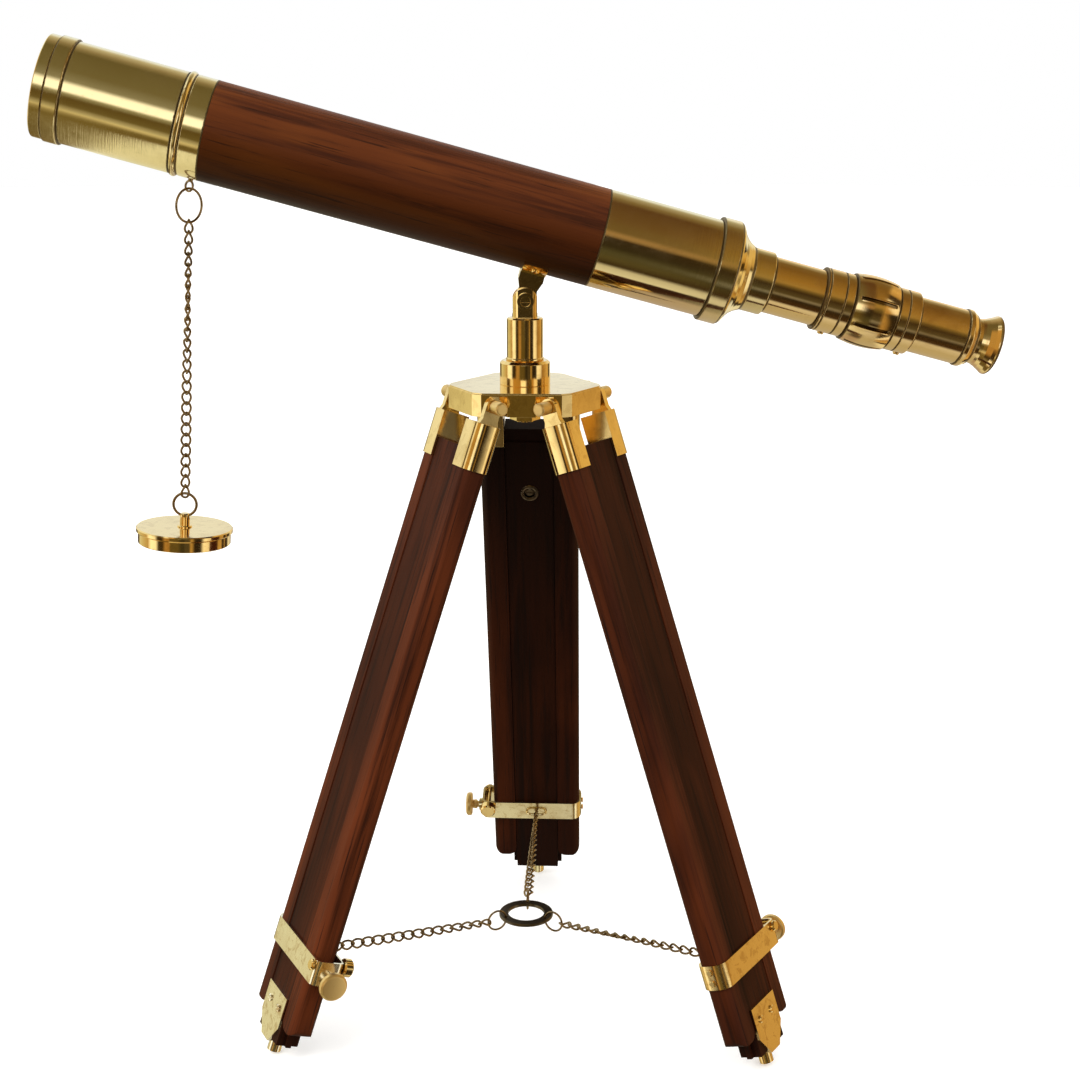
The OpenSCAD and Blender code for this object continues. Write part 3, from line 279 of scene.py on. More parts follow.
def softened(node, finish, width):
    # A merged copy of a CAD node whose flats are single faces and whose edges are bevelled
    source = frame["nodes"][node]
    words = node.split("_")
    name = words[0] + "".join(word.capitalize() for word in words[1:]) + "Soft"
    mesh = source.data.copy()
    work = bmesh.new()
    work.from_mesh(mesh)
    bmesh.ops.remove_doubles(work, verts=work.verts, dist=weld["node"])
    bmesh.ops.dissolve_degenerate(work, edges=work.edges, dist=weld["sliver"])
    flat = math.radians(bevelValues["flat"])
    bmesh.ops.dissolve_limit(work, angle_limit=flat, verts=work.verts, edges=work.edges)
    work.to_mesh(mesh)
    work.free()
    if mesh.has_custom_normals:
        mesh.attributes.remove(mesh.attributes["custom_normal"])
    piece = finishedPiece(name, mesh, bodyOf[node], sharpFrom["softened"])
    bevel = piece.modifiers.new("bevel", "BEVEL")
    bevel.width = width * millimetre
    bevel.segments = bevelValues["segments"]
    bevel.limit_method = "ANGLE"
    bevel.angle_limit = math.radians(bevelValues["from"])
    bevel.use_clamp_overlap = True
    bevel.harden_normals = True
    dress(piece, finish)
    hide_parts(node)


# The camera's place is given in metres from the middle of the stand on the floor.
view = {"from": (0.0414, -0.7735, 0.4324), "forward": (-0.0431, 0.9676, -0.2488),
        "lens": 56.32, "sensor": 36, "near": 0.01}
camera = bpy.data.objects.new("camera", bpy.data.cameras.new("camera"))
camera.data.lens = view["lens"]
camera.data.sensor_width = view["sensor"]
camera.data.clip_start = view["near"]
camera.location = Vector(view["from"]) + Vector(stand.origin)
camera.rotation_mode = "QUATERNION"
camera.rotation_quaternion = Vector(view["forward"]).to_track_quat("-Z", "Y")
bpy.context.scene.collection.objects.link(camera)
bpy.context.scene.camera = camera

# The floor is a wide disc, as pale as its surroundings.
floorValues = {"radius": 9.0, "drop": 0.00018, "steps": 96, "paleness": 0.8, "glow": 0.35, "roughness": 0.8}
floorMesh = bpy.data.meshes.new("floor")
edge = np.linspace(0, 2 * np.pi, floorValues["steps"], endpoint=False)
edge = np.stack([np.cos(edge), np.sin(edge), 0 * edge], -1) * floorValues["radius"]
edge = edge - upright * floorValues["drop"]
floorMesh.from_pydata(edge.tolist(), [], [list(range(floorValues["steps"]))])
floor = bpy.data.objects.new("floor", floorMesh)
bpy.context.scene.collection.objects.link(floor)
floorFinish = Finish("paleFloor", Base_Color=(floorValues["paleness"],) * 3, Roughness=floorValues["roughness"])
floorFinish.set(Emission_Color=(1.0, 1.0, 1.0), Emission_Strength=floorValues["glow"])
dress(floor, floorFinish)
floor.visible_glossy = False
floor.visible_diffuse = False

# Polished metal mirrors the room. Angles in degrees run round the telescope from the front (0)
# over the top (90) to behind (180) and below (-90), one list for each third of its length. The
# side and high lists are for rays that leave along the telescope, below and above the horizon:
# their angles run round the upright, from the front (0) to the right (90) and behind (180). The
# pairs in "blends" say where one list fades into the next, as the ray's component along the
# telescope, or upwards for "high", "level" and "over".
room = {
    "seen": (1.0, 1.0, 1.0), "below": (0.16, 0.12, 0.09), "level": (0.75, 0.73, 0.70), "over": (1.5, 1.48, 1.45),
    "wedgeFrom": -44, "wedgeWide": 0.25, "wedgeNarrow": 2.3, "ripple": 0.014, "rippleScale": 7.0,
    "blends": {"wedge": (-0.19, -0.13), "middle": (-0.12, 0.08), "right": (0.17, 0.20), "side": (0.37, 0.43),
               "high": (0.0, 0.12), "level": (-0.25, 0.15), "over": (0.1, 0.9)},
    "left": [(-180, (0.80, 0.78, 0.58)), (-84, (0.98, 0.98, 0.82)), (-80, (0.98, 0.98, 0.82)),
             (-72, (0.20, 0.14, 0.05)), (-60, (0.14, 0.10, 0.03)), (-46, (0.20, 0.15, 0.05)),
             (-40, (0.72, 0.62, 0.36)), (-36, (0.55, 0.50, 0.32)), (-27, (0.16, 0.12, 0.04)),
             (-9, (0.12, 0.08, 0.02)), (0, (0.36, 0.34, 0.22)), (4, (1.5, 1.5, 1.5)), (18, (1.4, 1.4, 1.4)),
             (26, (0.28, 0.26, 0.18)), (50, (0.17, 0.14, 0.06)), (104, (0.14, 0.11, 0.04)),
             (120, (0.30, 0.24, 0.13)), (140, (0.60, 0.55, 0.40)), (152, (0.90, 0.97, 1.0)),
             (172, (0.90, 0.97, 1.0)), (180, (0.65, 0.58, 0.44))],
    "middle": [(-180, (0.50, 0.42, 0.34)), (-105, (0.48, 0.38, 0.30)), (-95, (0.10, 0.07, 0.05)),
               (-82, (0.12, 0.09, 0.06)), (-74, (0.78, 0.74, 0.60)), (-58, (0.62, 0.58, 0.46)),
               (-51, (0.05, 0.03, 0.01)), (-36, (0.10, 0.08, 0.03)), (-22, (0.08, 0.07, 0.03)),
               (-8, (0.035, 0.025, 0.01)), (10, (0.035, 0.02, 0.006)), (16, (0.36, 0.22, 0.09)),
               (21, (0.36, 0.22, 0.09)), (28, (0.17, 0.11, 0.035)), (60, (0.14, 0.075, 0.02)),
               (102, (0.11, 0.05, 0.012)), (118, (0.24, 0.17, 0.07)), (138, (0.45, 0.40, 0.28)),
               (150, (0.90, 0.97, 1.0)), (172, (0.90, 0.97, 1.0)), (180, (0.55, 0.50, 0.38))],
    "right": [(-180, (0.52, 0.48, 0.42)), (-90, (0.55, 0.50, 0.36)), (-64, (0.72, 0.68, 0.60)),
              (-55, (0.06, 0.03, 0.01)), (-32, (0.03, 0.02, 0.01)), (-23, (0.26, 0.24, 0.20)),
              (-16, (0.10, 0.08, 0.04)), (4, (0.05, 0.03, 0.01)), (14, (0.14, 0.10, 0.03)),
              (26, (0.38, 0.25, 0.07)), (45, (0.34, 0.20, 0.04)), (90, (0.20, 0.11, 0.02)),
              (116, (0.20, 0.13, 0.04)), (137, (0.46, 0.42, 0.30)), (155, (1.1, 1.0, 0.8)),
              (180, (0.60, 0.54, 0.42))],
    "side": [(-180, (0.80, 0.72, 0.50)), (-150, (0.95, 0.90, 0.70)), (-146, (0.03, 0.02, 0.01)),
             (-136, (0.04, 0.02, 0.01)), (-130, (0.78, 0.76, 0.50)), (-112, (0.70, 0.62, 0.36)),
             (-88, (0.60, 0.42, 0.18)), (-78, (1.4, 1.35, 1.2)), (-62, (1.3, 1.25, 1.1)), (-54, (0.06, 0.04, 0.02)),
             (-42, (0.05, 0.03, 0.01)), (-34, (0.50, 0.28, 0.08)), (0, (0.30, 0.18, 0.05)),
             (30, (0.55, 0.34, 0.10)), (38, (0.03, 0.02, 0.01)), (54, (0.03, 0.02, 0.01)),
             (62, (1.3, 1.2, 1.0)), (78, (1.0, 0.9, 0.7)), (88, (0.40, 0.22, 0.06)),
             (130, (0.75, 0.50, 0.18)), (136, (0.03, 0.02, 0.01)), (146, (0.04, 0.02, 0.01)),
             (152, (0.95, 0.90, 0.70)), (180, (0.80, 0.72, 0.50))],
    "high": [(-180, (0.80, 0.72, 0.50)), (-150, (0.95, 0.90, 0.70)), (-136, (1.0, 1.05, 1.0)),
             (-92, (0.95, 0.95, 0.85)), (-84, (0.10, 0.06, 0.02)), (-72, (0.12, 0.08, 0.02)),
             (-66, (1.1, 1.05, 0.9)), (-56, (1.1, 1.05, 0.9)), (-50, (0.60, 0.36, 0.10)),
             (0, (0.45, 0.28, 0.08)), (40, (0.60, 0.36, 0.10)), (48, (1.2, 1.1, 0.9)),
             (58, (1.1, 1.0, 0.8)), (64, (0.05, 0.03, 0.01)), (80, (0.05, 0.03, 0.01)),
             (88, (0.60, 0.38, 0.12)), (112, (0.80, 0.55, 0.20)), (136, (0.75, 0.52, 0.20)),
             (150, (0.95, 0.90, 0.70)), (180, (0.80, 0.72, 0.50))],
}
world = bpy.data.worlds.new("studio")
bpy.context.scene.world = world
world.use_nodes = True
sky = Graph(world.node_tree)
sky.tree.nodes.clear()
ray = sky.add("ShaderNodeTexCoord", output="Generated")
above, ahead = sky.dot(ray, -scope.turn[0]), sky.dot(ray, -scope.turn[1])
lengthwise = sky.dot(ray, scope.turn[2])


def band(name, angle):
    # One list of the room as a ramp; a share of 0.5 is straight ahead
    return sky.ramp(angle, [(degrees / 360 + 0.5, tint) for degrees, tint in room[name]])


def blended(name, value, first, second):
    return sky.blend(sky.between(value, *room["blends"][name]), first, second)


# Below the wedge's angle the front list is squeezed or stretched about that angle: the angle
# becomes max(angle, wedge) + (min(angle, wedge) - wedge) times the wedge's spread.
angle = above.share(ahead) + 0.5 + (sky.noise(ray, room["rippleScale"], 2.0) - 0.5) * room["ripple"]
wedge = room["wedgeFrom"] / 360 + 0.5
spread = sky.between(lengthwise, *room["blends"]["wedge"], room["wedgeWide"], room["wedgeNarrow"])
bent = angle.math("MAXIMUM", angle, wedge) + (angle.math("MINIMUM", angle, wedge) - wedge) * spread
mirrored = blended("middle", lengthwise, band("left", bent), band("middle", angle))
mirrored = blended("right", lengthwise, mirrored, band("right", angle))
compass = sky.dot(ray, (1, 0, 0)).share(sky.dot(ray, (0, -1, 0))) + 0.5
height = sky.dot(ray, (0, 0, 1))
ends = blended("high", height, band("side", compass), band("high", compass))
mirrored = blended("side", lengthwise.absolute(), mirrored, ends)
# Camera rays see the pale surroundings, glossy rays the mirrored room, all others a soft sky.
soft = blended("level", height, room["below"], room["level"])
soft = blended("over", height, soft, room["over"])
lightPath = "ShaderNodeLightPath"
soft = sky.blend(sky.add(lightPath, output="Is Camera Ray"), soft, room["seen"])
plain = sky.add("ShaderNodeBackground", {}, {0: soft})
shown = sky.add("ShaderNodeBackground", {}, {0: mirrored})
mixed = sky.add("ShaderNodeMixShader", {}, {0: sky.add(lightPath, output="Is Glossy Ray"), 1: plain, 2: shown})
sky.add("ShaderNodeOutputWorld", {}, {0: mixed})

# Both lamps face one point over the stand, and polished metal doesn't mirror them.
lampAim = (0, 0, 0.3)
lamps = {
    "key": {"at": (-0.9, -1.0, 1.2), "size": (0.7, 0.7), "power": 14, "tint": (1, 0.97, 0.93)},
    "fill": {"at": (1.2, -0.7, 0.9), "size": (0.7, 1.0), "power": 4, "tint": (1, 0.98, 0.95)},
}
for lampName, lamp in lamps.items():
    light = bpy.data.objects.new(lampName, bpy.data.lights.new(lampName, "AREA"))
    light.data.shape = "RECTANGLE"
    light.data.size, light.data.size_y = lamp["size"]
    light.data.energy = lamp["power"]
    light.data.color = lamp["tint"]
    light.location = lamp["at"]
    light.visible_glossy = False
    light.rotation_mode = "QUATERNION"
    light.rotation_quaternion = (Vector(lampAim) - Vector(lamp["at"])).to_track_quat("-Z", "Y")
    bpy.context.scene.collection.objects.link(light)
bpy.context.scene.view_settings.view_transform = "Standard"
print("stage: camera, floor and light set")


brassValues = {
    "bright": (0.88, 0.72, 0.38), "deep": (0.55, 0.36, 0.12), "grime": (0.045, 0.022, 0.008), "grimeShare": 0.85,
    "roughness": 0.085, "cloudGloss": 0.05, "speckGloss": 0.06, "grimeGloss": 0.4,
    "speckRelief": 0.02, "depth": 0.0002, "relief": 0.35}
# The noises of brass: scale, detail, roughness and distortion.
brassNoise = {"cloud": (38.0, 5.0, 0.62, 0.4), "speck": (420.0, 4.0, 0.7), "blotch": (190.0, 4.0, 0.65, 0.8),
              "rag": (700.0, 2.0), "line": (2600.0, 2.0, 0.5), "wave": (60.0, 1.0, 0.4)}
# The levels of those noises between which each mark fades in.
brassLevels = {"cloud": (0.48, 0.78), "speck": (0.60, 0.78), "blotch": (0.50, 0.66),
               "cloudGloss": (0.35, 0.7), "speckGloss": (0.5, 0.8)}


def brassFinish(name, place=None, bright=None, deep=None, roughness=None, tarnish=0.3, lines=0.0, seams=(),
                wave=0.35, mottle=0.0):
    # Polished brass: two tones mixed by a slow cloud and specks, smudged gloss, and a relief of
    # slow waves, specks and faint turning lines that run round the place's z axis. Dirt darkens
    # each seam, given as a station along z and how far the dirt reaches from it, in mm.
    values = brassValues
    bright = bright or values["bright"]
    deep = deep or values["deep"]
    roughness = roughness or values["roughness"]
    finish = Finish(name, Metallic=1.0)
    point = finish.coords(place)
    cloud = finish.noise(point, *brassNoise["cloud"])
    speck = finish.noise(point, *brassNoise["speck"])
    age = finish.between(cloud, *brassLevels["cloud"]) * tarnish
    age = age + finish.between(speck, *brassLevels["speck"]) * (tarnish * 0.5)
    tone = finish.blend(age.clamped(), bright, deep)
    if mottle:
        blotch = finish.noise(point, *brassNoise["blotch"])
        tone = finish.blend(finish.between(blotch, *brassLevels["blotch"]) * mottle, tone, deep)
    gloss = finish.between(cloud, *brassLevels["cloudGloss"]) * values["cloudGloss"] + roughness
    gloss = gloss + finish.between(speck, *brassLevels["speckGloss"]) * values["speckGloss"]
    if seams:
        along = finish.dot(point, (0, 0, 1000)) + (finish.noise(point, *brassNoise["rag"]) - 0.5) * 0.5
        grime = 0.0
        for seam, reach in seams:
            grime = finish.between((along - seam).absolute(), reach * 0.35, reach, 1.0, 0.0) + grime
        grime = grime.clamped() * values["grimeShare"]
        tone = finish.blend(grime, tone, values["grime"])
        gloss = gloss + grime * values["grimeGloss"]
    finish.set(Base_Color=tone, Roughness=gloss)
    relief = finish.noise(point, *brassNoise["wave"]) * wave + speck * values["speckRelief"]
    if lines:
        stretched = finish.coords(place, (0.02, 0.02, 1.0))
        relief = relief + finish.noise(stretched, *brassNoise["line"]) * lines
    finish.set(Normal=finish.bump(relief, values["depth"], values["relief"]))
    return finish


# Each mark of the wood fades in between these two levels of its noise; the last two are places in mm, downwards from
# the axis and upwards along the leg, over which painted shade darkens the tube's underside and each leg's top.
woodLevels = {"patch": (0.35, 0.68), "figure": (0.35, 0.6), "streak": (0.52, 0.72), "pore": (0.58, 0.70),
              "relief": (0.55, 0.7), "under": (-16.0, 20.0), "top": (-230.0, -30.0)}
woodRelief = {"gloss": 0.08, "streak": 0.4, "depth": 0.00015}
# The noises of wood: the share of the stretch that each takes, its detail and its roughness.
woodNoise = {"figure": (1.0, 4.0, 0.55), "streak": (0.5, 6.0, 0.65), "pore": (0.35, 3.0, 0.6)}


def woodFinish(name, place, values):
    # Streaks are noise stretched along the place's z axis; rings are a second, slower noise read
    # through a sine, and dark pores are fine stretched specks.
    finish = Finish(name)
    level = woodLevels

    def grain(kind, distortion):
        share, detail, roughness = woodNoise[kind]
        stretched = finish.coords(place, (1.0, 1.0, values["stretch"] * share))
        return finish.noise(stretched, values[kind + "Scale"], detail, roughness, distortion)

    figure = (grain("figure", values["wander"]) * values["rings"]).sine() * 0.5 + 0.5
    streak = grain("streak", 0.3)
    pores = grain("pore", 0.0)
    patch = finish.noise(finish.coords(place, (1.0, 1.0, 0.35)), values["patchScale"], 3.0, 0.5, 0.5)
    tone = finish.blend(finish.between(patch, *level["patch"]), values["dark"], values["light"])
    tone = finish.blend(figure * finish.between(streak, *level["figure"]) * values["figure"], tone, values["deep"])
    tone = finish.blend(finish.between(streak, *level["streak"]) * values["streak"], tone, values["black"])
    tone = finish.blend(finish.between(pores, *level["pore"]) * values["pore"], tone, values["black"])
    # Painted shade: the tube blends to black towards its underside, and each leg towards its top, there as painted
    # shade and in part aged stain.
    for shade, direction in (("under", (1000, 0, 0)), ("top", (0, 0, 1000))):
        if shade in values:
            reach = finish.between(finish.dot(finish.coords(place), direction), *level[shade])
            tone = finish.blend(reach * values[shade], tone, values["black"])
    finish.set(Base_Color=tone)
    finish.set(Roughness=values["roughness"] + streak * woodRelief["gloss"])
    finish.set(Coat_Weight=values["coat"], Coat_Roughness=values["coatRoughness"])
    finish.set(Specular_IOR_Level=values["shine"])
    relief = finish.between(pores, *level["relief"]) * -1.0 + streak * woodRelief["streak"]
    finish.set(Normal=finish.bump(relief, woodRelief["depth"], values["relief"]))
    return finish


# The tube's wood darkens towards its underside: painted shade.
tubeWood = woodFinish("tubeWood", scope, {
    "light": (0.270, 0.080, 0.008), "dark": (0.098, 0.022, 0.003), "deep": (0.040, 0.008, 0.002),
    "black": (0.016, 0.005, 0.002), "under": 0.75, "stretch": 0.09, "figureScale": 46.0, "wander": 0.9, "rings": 20.0,
    "streakScale": 230.0, "poreScale": 900.0, "patchScale": 16.0, "figure": 0.75, "streak": 0.6,
    "pore": 0.7, "roughness": 0.42, "shine": 0.10, "coat": 0.02, "coatRoughness": 0.22, "relief": 0.25})
legWoodValues = {
    "light": (0.125, 0.028, 0.008), "dark": (0.056, 0.013, 0.005), "deep": (0.026, 0.007, 0.003),
    "black": (0.008, 0.004, 0.003), "stretch": 0.07, "figureScale": 60.0, "wander": 0.8, "rings": 22.0,
    "streakScale": 260.0, "poreScale": 900.0, "patchScale": 22.0, "figure": 0.8, "streak": 0.7,
    "pore": 0.8, "roughness": 0.50, "shine": 0.06, "coat": 0.02, "coatRoughness": 0.3, "relief": 0.35}
# The legs differ in how dark they are: each leg's wood is a darker copy by its share, painted shade for the legs
# turned from the light. Each top darkens by its share, as painted shade below the head and in part aged stain.
legPaintedShades = {"rear": 0.55, "left": 1.0, "right": 0.75}
topShadeAndStain = {"rear": 0.8, "left": 0.1, "right": 0.25}
centreShade = 0.6
legWoods, centreWoods = {}, {}
for side in sides:
    for woods, part, shade in ((legWoods, "Leg", 1.0), (centreWoods, "Centre", centreShade)):
        tones = {tone: tuple(shade * legPaintedShades[side] * c for c in legWoodValues[tone])
                 for tone in ("light", "dark", "deep")}
        values = {**legWoodValues, **tones, "top": topShadeAndStain[side]}
        woods[side] = woodFinish(side + part + "Wood", legs[side], values)
        woods[side].slot = "leg_wood"
# Stations run from the front rim towards the eye, in millimetres.
at = {"cell": 12.3, "ferrule": 60.7, "wood": 73.6, "rear": 251.9, "flange": 305.2, "guide": 316.0,
      "guideEnd": 333.1, "grip": 358.0, "bulge": 372.4, "bulgeEnd": 392.8, "gripEnd": 403.8,
      "eyeBead": 427.9, "eyecup": 433.0, "end": 444.5}
frontSeams = [(5.3, 0.5), (at["cell"], 0.7), (at["ferrule"] + 0.1, 0.8), (at["ferrule"] + 3.4, 0.6),
              (at["wood"] - 0.2, 0.6), (at["rear"] + 0.2, 0.7), (at["flange"], 0.8), (at["guide"] - 2.0, 0.6),
              (at["guide"] + 7, 1.0), (at["guideEnd"] + 0.2, 0.7)]
gripSeams = [(at["guideEnd"] + 0.3, 0.9), (at["grip"] + 0.1, 0.8), (at["grip"] + 1.6, 0.6), (at["grip"] + 9.3, 0.7),
             (at["bulge"] - 0.4, 0.9), (at["bulgeEnd"] + 0.4, 0.9), (at["bulgeEnd"] + 5.1, 0.6),
             (at["gripEnd"] + 0.3, 0.8), (at["eyeBead"], 0.7), (at["eyecup"], 1.3), (at["end"] - 0.6, 0.7)]
gripLooks = {"bright": (0.90, 0.66, 0.31), "deep": (0.50, 0.28, 0.08), "lines": 0.12, "tarnish": 0.5,
             "seams": gripSeams}
turnedBrass = brassFinish("turnedBrass", scope, lines=0.12, seams=frontSeams)
gripBrass = brassFinish("gripBrass", scope, **gripLooks)
castBrass = brassFinish("castBrass", bright=(0.90, 0.67, 0.29), tarnish=0.5, wave=1.2, mottle=0.35)
# The bands and shoes are of sheet; the tint at each leg is a painted reflection, paler on the lit left leg and deeper
# on the right.
sheetReflectionTints = {"rear": (0.95, 0.84, 0.52), "left": (0.95, 0.88, 0.68), "right": (0.92, 0.69, 0.31)}
sheetLooks = {"deep": (0.50, 0.30, 0.09), "roughness": 0.16, "tarnish": 0.5, "wave": 1.6, "mottle": 0.5}
sheets = {side: brassFinish(side + "Sheet", bright=tint, **sheetLooks) for side, tint in sheetReflectionTints.items()}
satinBrass = brassFinish("satinBrass", bright=(0.88, 0.64, 0.27), deep=(0.42, 0.24, 0.08), roughness=0.36,
                         tarnish=0.5, wave=1.2)
pinBrass = brassFinish("pinBrass", bright=(0.16, 0.12, 0.08), deep=(0.05, 0.03, 0.02), roughness=0.25, tarnish=0.6)
agedBrass = brassFinish("agedBrass", bright=(0.36, 0.26, 0.14), deep=(0.10, 0.06, 0.03), roughness=0.22, tarnish=0.9)
darkBrass = brassFinish("darkBrass", bright=(0.14, 0.11, 0.07), deep=(0.05, 0.04, 0.03), roughness=0.30, tarnish=0.7)
blackBrass = brassFinish("blackBrass", bright=(0.04, 0.04, 0.035), deep=(0.02, 0.02, 0.02), roughness=0.55,
                         tarnish=0.6)
lensGlass = Finish("lensGlass", Base_Color=(0.92, 0.97, 0.96), Roughness=0.03, IOR=1.5, Transmission_Weight=1.0)

slotFinish = {"polished_brass": castBrass, "aged_brass": agedBrass, "dark_brass": darkBrass,
              "black_brass": blackBrass, "tube_wood": tubeWood, "glass": lensGlass}
for slot, finish in slotFinish.items():
    finish.slot = slot
for finish in (turnedBrass, gripBrass, satinBrass, pinBrass, *sheets.values()):
    finish.slot = "polished_brass"
finishOf = {}
for part in frame["record"]["subparts"]:
    node, slot = part["node"], part["material_slot"]
    finishOf[node] = slotFinish.get(slot)
    if slot == "leg_wood":
        finishOf[node] = (centreWoods if "centre" in node else legWoods)[node.split("_")[0]]
    elif node.endswith(("_band", "_shoe")):
        finishOf[node] = sheets[node.split("_")[0]]
    elif node.endswith("slat_eyelet"):
        finishOf[node] = pinBrass
    elif node.endswith(("_pin", "thumb_screw")):
        finishOf[node] = satinBrass
    dress(frame["nodes"][node], finishOf[node])
print("stage: finishes made")


def halfRound(top, width, start, base, steps=15):
    # Arc of a half-round bead: centre at top - width / 2, cut off where it meets radius base
    half, centre = width / 2, start + width / 2
    reach = math.acos(min(1.0, (base - top + half) / half))
    return [[top - half + half * math.cos(t), centre + half * math.sin(t)] for t in np.linspace(-reach, reach, steps)]


def dip(r, z, depth=0.35, width=0.9):
    # Three outline points of a narrow groove turned into radius r at station z
    return [[r, z - width / 2], [r - depth, z], [r, z + width / 2]]


# All outlines are lists of radius and station in mm. Spigots reach 10 mm into the tubes.
spigot, shellBore, woodBore = 10, 21.25, 19.0
spigotRadius = shellBore - 0.05

lens = {"rim": 22.55, "band": 5.2, "raised": 23.2, "bore": 21.35, "boreLength": 7.5,
        "seat": 20.55, "back": 16.2, "stop": 18.7}
turnedPiece("objectiveCell", "telescope", [
    [lens["bore"], 0], [lens["rim"], 0], [lens["rim"], lens["band"] - 0.5], [lens["rim"] - 0.35, lens["band"] - 0.2],
    [lens["rim"] - 0.35, lens["band"] + 0.05], [lens["raised"], lens["band"] + 0.05], [lens["raised"], at["cell"]],
    [spigotRadius, at["cell"]], [spigotRadius, at["cell"] + spigot], [lens["stop"], at["cell"] + spigot],
    [lens["stop"], lens["back"]], [lens["seat"], lens["back"]], [lens["seat"], lens["boreLength"]],
    [lens["bore"], lens["boreLength"]]],
    [0.35, 0.5, 0.15, 0.1, 0.1, 0.35, 1.1, 0.1, 0.1, 0.3, 0.1, 0.1, 0.1, 0.1],
    turnedBrass, turns=256, replaces=["objective_cell"])

sunshade = {"r": 22.35}
turnedPiece("sunshadeBarrel", "telescope", [
    [shellBore, at["cell"]], [sunshade["r"], at["cell"]], [sunshade["r"], at["ferrule"]], [shellBore, at["ferrule"]]],
    0.12, turnedBrass, turns=256, replaces=["sunshade_barrel"])

ferrule = {"r": 22.35, "bead": 23.2, "beadWidth": 3.1, "bore": 18.2}
turnedPiece("frontFerrule", "telescope", [
    [ferrule["bore"], at["ferrule"] - spigot], [spigotRadius, at["ferrule"] - spigot],
    [spigotRadius, at["ferrule"] + 0.05], [ferrule["r"] - 0.2, at["ferrule"] + 0.05],
    *halfRound(ferrule["bead"], ferrule["beadWidth"], at["ferrule"], ferrule["r"] - 0.2),
    [ferrule["r"] - 0.35, at["ferrule"] + ferrule["beadWidth"] + 0.25],
    [ferrule["r"], at["ferrule"] + ferrule["beadWidth"] + 0.9],
    [ferrule["r"], at["wood"]], [woodBore, at["wood"]], [woodBore, at["wood"] + spigot],
    [ferrule["bore"], at["wood"] + spigot]],
    0.15, turnedBrass, turns=256, replaces=["front_ferrule"])

tube = {"r": 22.3}
turnedPiece("woodenTube", "telescope", [
    [woodBore + 0.02, at["wood"] + 0.05], [tube["r"], at["wood"] + 0.05], [tube["r"], at["rear"] - 0.05],
    [woodBore + 0.02, at["rear"] - 0.05]],
    0.2, tubeWood, turns=256, replaces=["wood_tube"])

barrel = {"r": 22.35, "bore": 18.2, "lip": 1.6}
turnedPiece("rearBarrel", "telescope", [
    [barrel["bore"], at["rear"] - spigot], [woodBore, at["rear"] - spigot], [woodBore, at["rear"]],
    [barrel["r"], at["rear"]], [barrel["r"], at["flange"]], [shellBore, at["flange"]],
    [shellBore, at["rear"] + barrel["lip"]], [barrel["bore"], at["rear"] + barrel["lip"]]],
    0.15, turnedBrass, turns=256, replaces=["rear_barrel"])

collar = {"flange": 24.0, "guide": 14.55, "bore": 13.05, "cavity": 15.5}
ogee = [[collar["flange"] - drop, at["guide"] + run] for drop, run in
        [(0.8, -1), (2.4, 0), (4.4, 1.2), (6.2, 2.7), (7.8, 4.6)]]
turnedPiece("drawCollar", "telescope", [
    [collar["cavity"], at["flange"] - 8], [spigotRadius, at["flange"] - 8], [spigotRadius, at["flange"]],
    [collar["flange"], at["flange"]], [collar["flange"], at["guide"] - 2.2], *ogee,
    [collar["guide"] + 0.6, at["guide"] + 6.6], [collar["guide"], at["guide"] + 7.6],
    [collar["guide"], at["guideEnd"]], [collar["bore"], at["guideEnd"]],
    [collar["bore"], at["guide"] - 3], [collar["cavity"], at["guide"] - 3]],
    [0.3, 0.3, 0.1, 0.7, 1.2, 0.5, 1.5, 2.0, 2.0, 2.0, 1.5, 1.0, 0.6, 0.2, 0.2, 0.2],
    turnedBrass, turns=256, replaces=["draw_collar"])

draw = {"r": 13.0, "bore": 12.1, "from": 254.1, "stop": 14.5}
turnedPiece("drawTube", "draw", [
    [draw["bore"], draw["from"]], [draw["stop"], draw["from"]], [draw["stop"], draw["from"] + 4],
    [draw["r"], draw["from"] + 4], [draw["r"], at["grip"] + 8], [draw["bore"], at["grip"] + 8]],
    0.2, gripBrass, turns=160, replaces=["draw_tube"])

# The grip's radius follows its turned profile, less the slots: each slot is a trough of the given
# width and depth that fades in over its end, and its edges stand up as a thin burr. Dirt lies in
# the slots: "dirtWidth" is a share of a flute's turn, "dirtReach" a distance from the middle.
fluted = {"ring": 14.65, "start": 15.45, "rise": 1.15, "sleeve": 12.95, "front": 13.0, "step": 0.9, "dirt": 0.85,
          "flutes": 8, "gap": 1.6, "depth": 0.8, "wall": 0.28, "burr": 0.1, "burrWidth": 0.2, "slotRadius": 16.0,
          "slotEnd": 1.6, "fade": 0.8, "dirtWidth": (0.05, 0.075), "dirtReach": (8.4, 9.0), "turns": 432, "rows": 44}
middle, halfLength = (at["bulge"] + at["bulgeEnd"]) / 2, (at["bulgeEnd"] - at["bulge"]) / 2
slotBrass = brassFinish("slotBrass", scope, **gripLooks)
slotBrass.slot = "polished_brass"
point = slotBrass.coords(scope)
bearing = slotBrass.dot(point, (0, 1, 0)).share(slotBrass.dot(point, (1, 0, 0))) * fluted["flutes"]
fromFlute = (bearing.math("FLOORED_MODULO", bearing, 1.0) - 0.5).absolute()
fromMiddle = (slotBrass.dot(point, (0, 0, 1000)) - middle).absolute()
dirt = slotBrass.between(fromFlute, *fluted["dirtWidth"], 1, 0)
dirt = dirt * slotBrass.between(fromMiddle, *fluted["dirtReach"], 1, 0)
cleanTone = Value(slotBrass, slotBrass.shader.inputs["Base Color"].links[0].from_socket)
slotBrass.set(Base_Color=slotBrass.blend(dirt * fluted["dirt"], cleanTone, brassValues["grime"]))

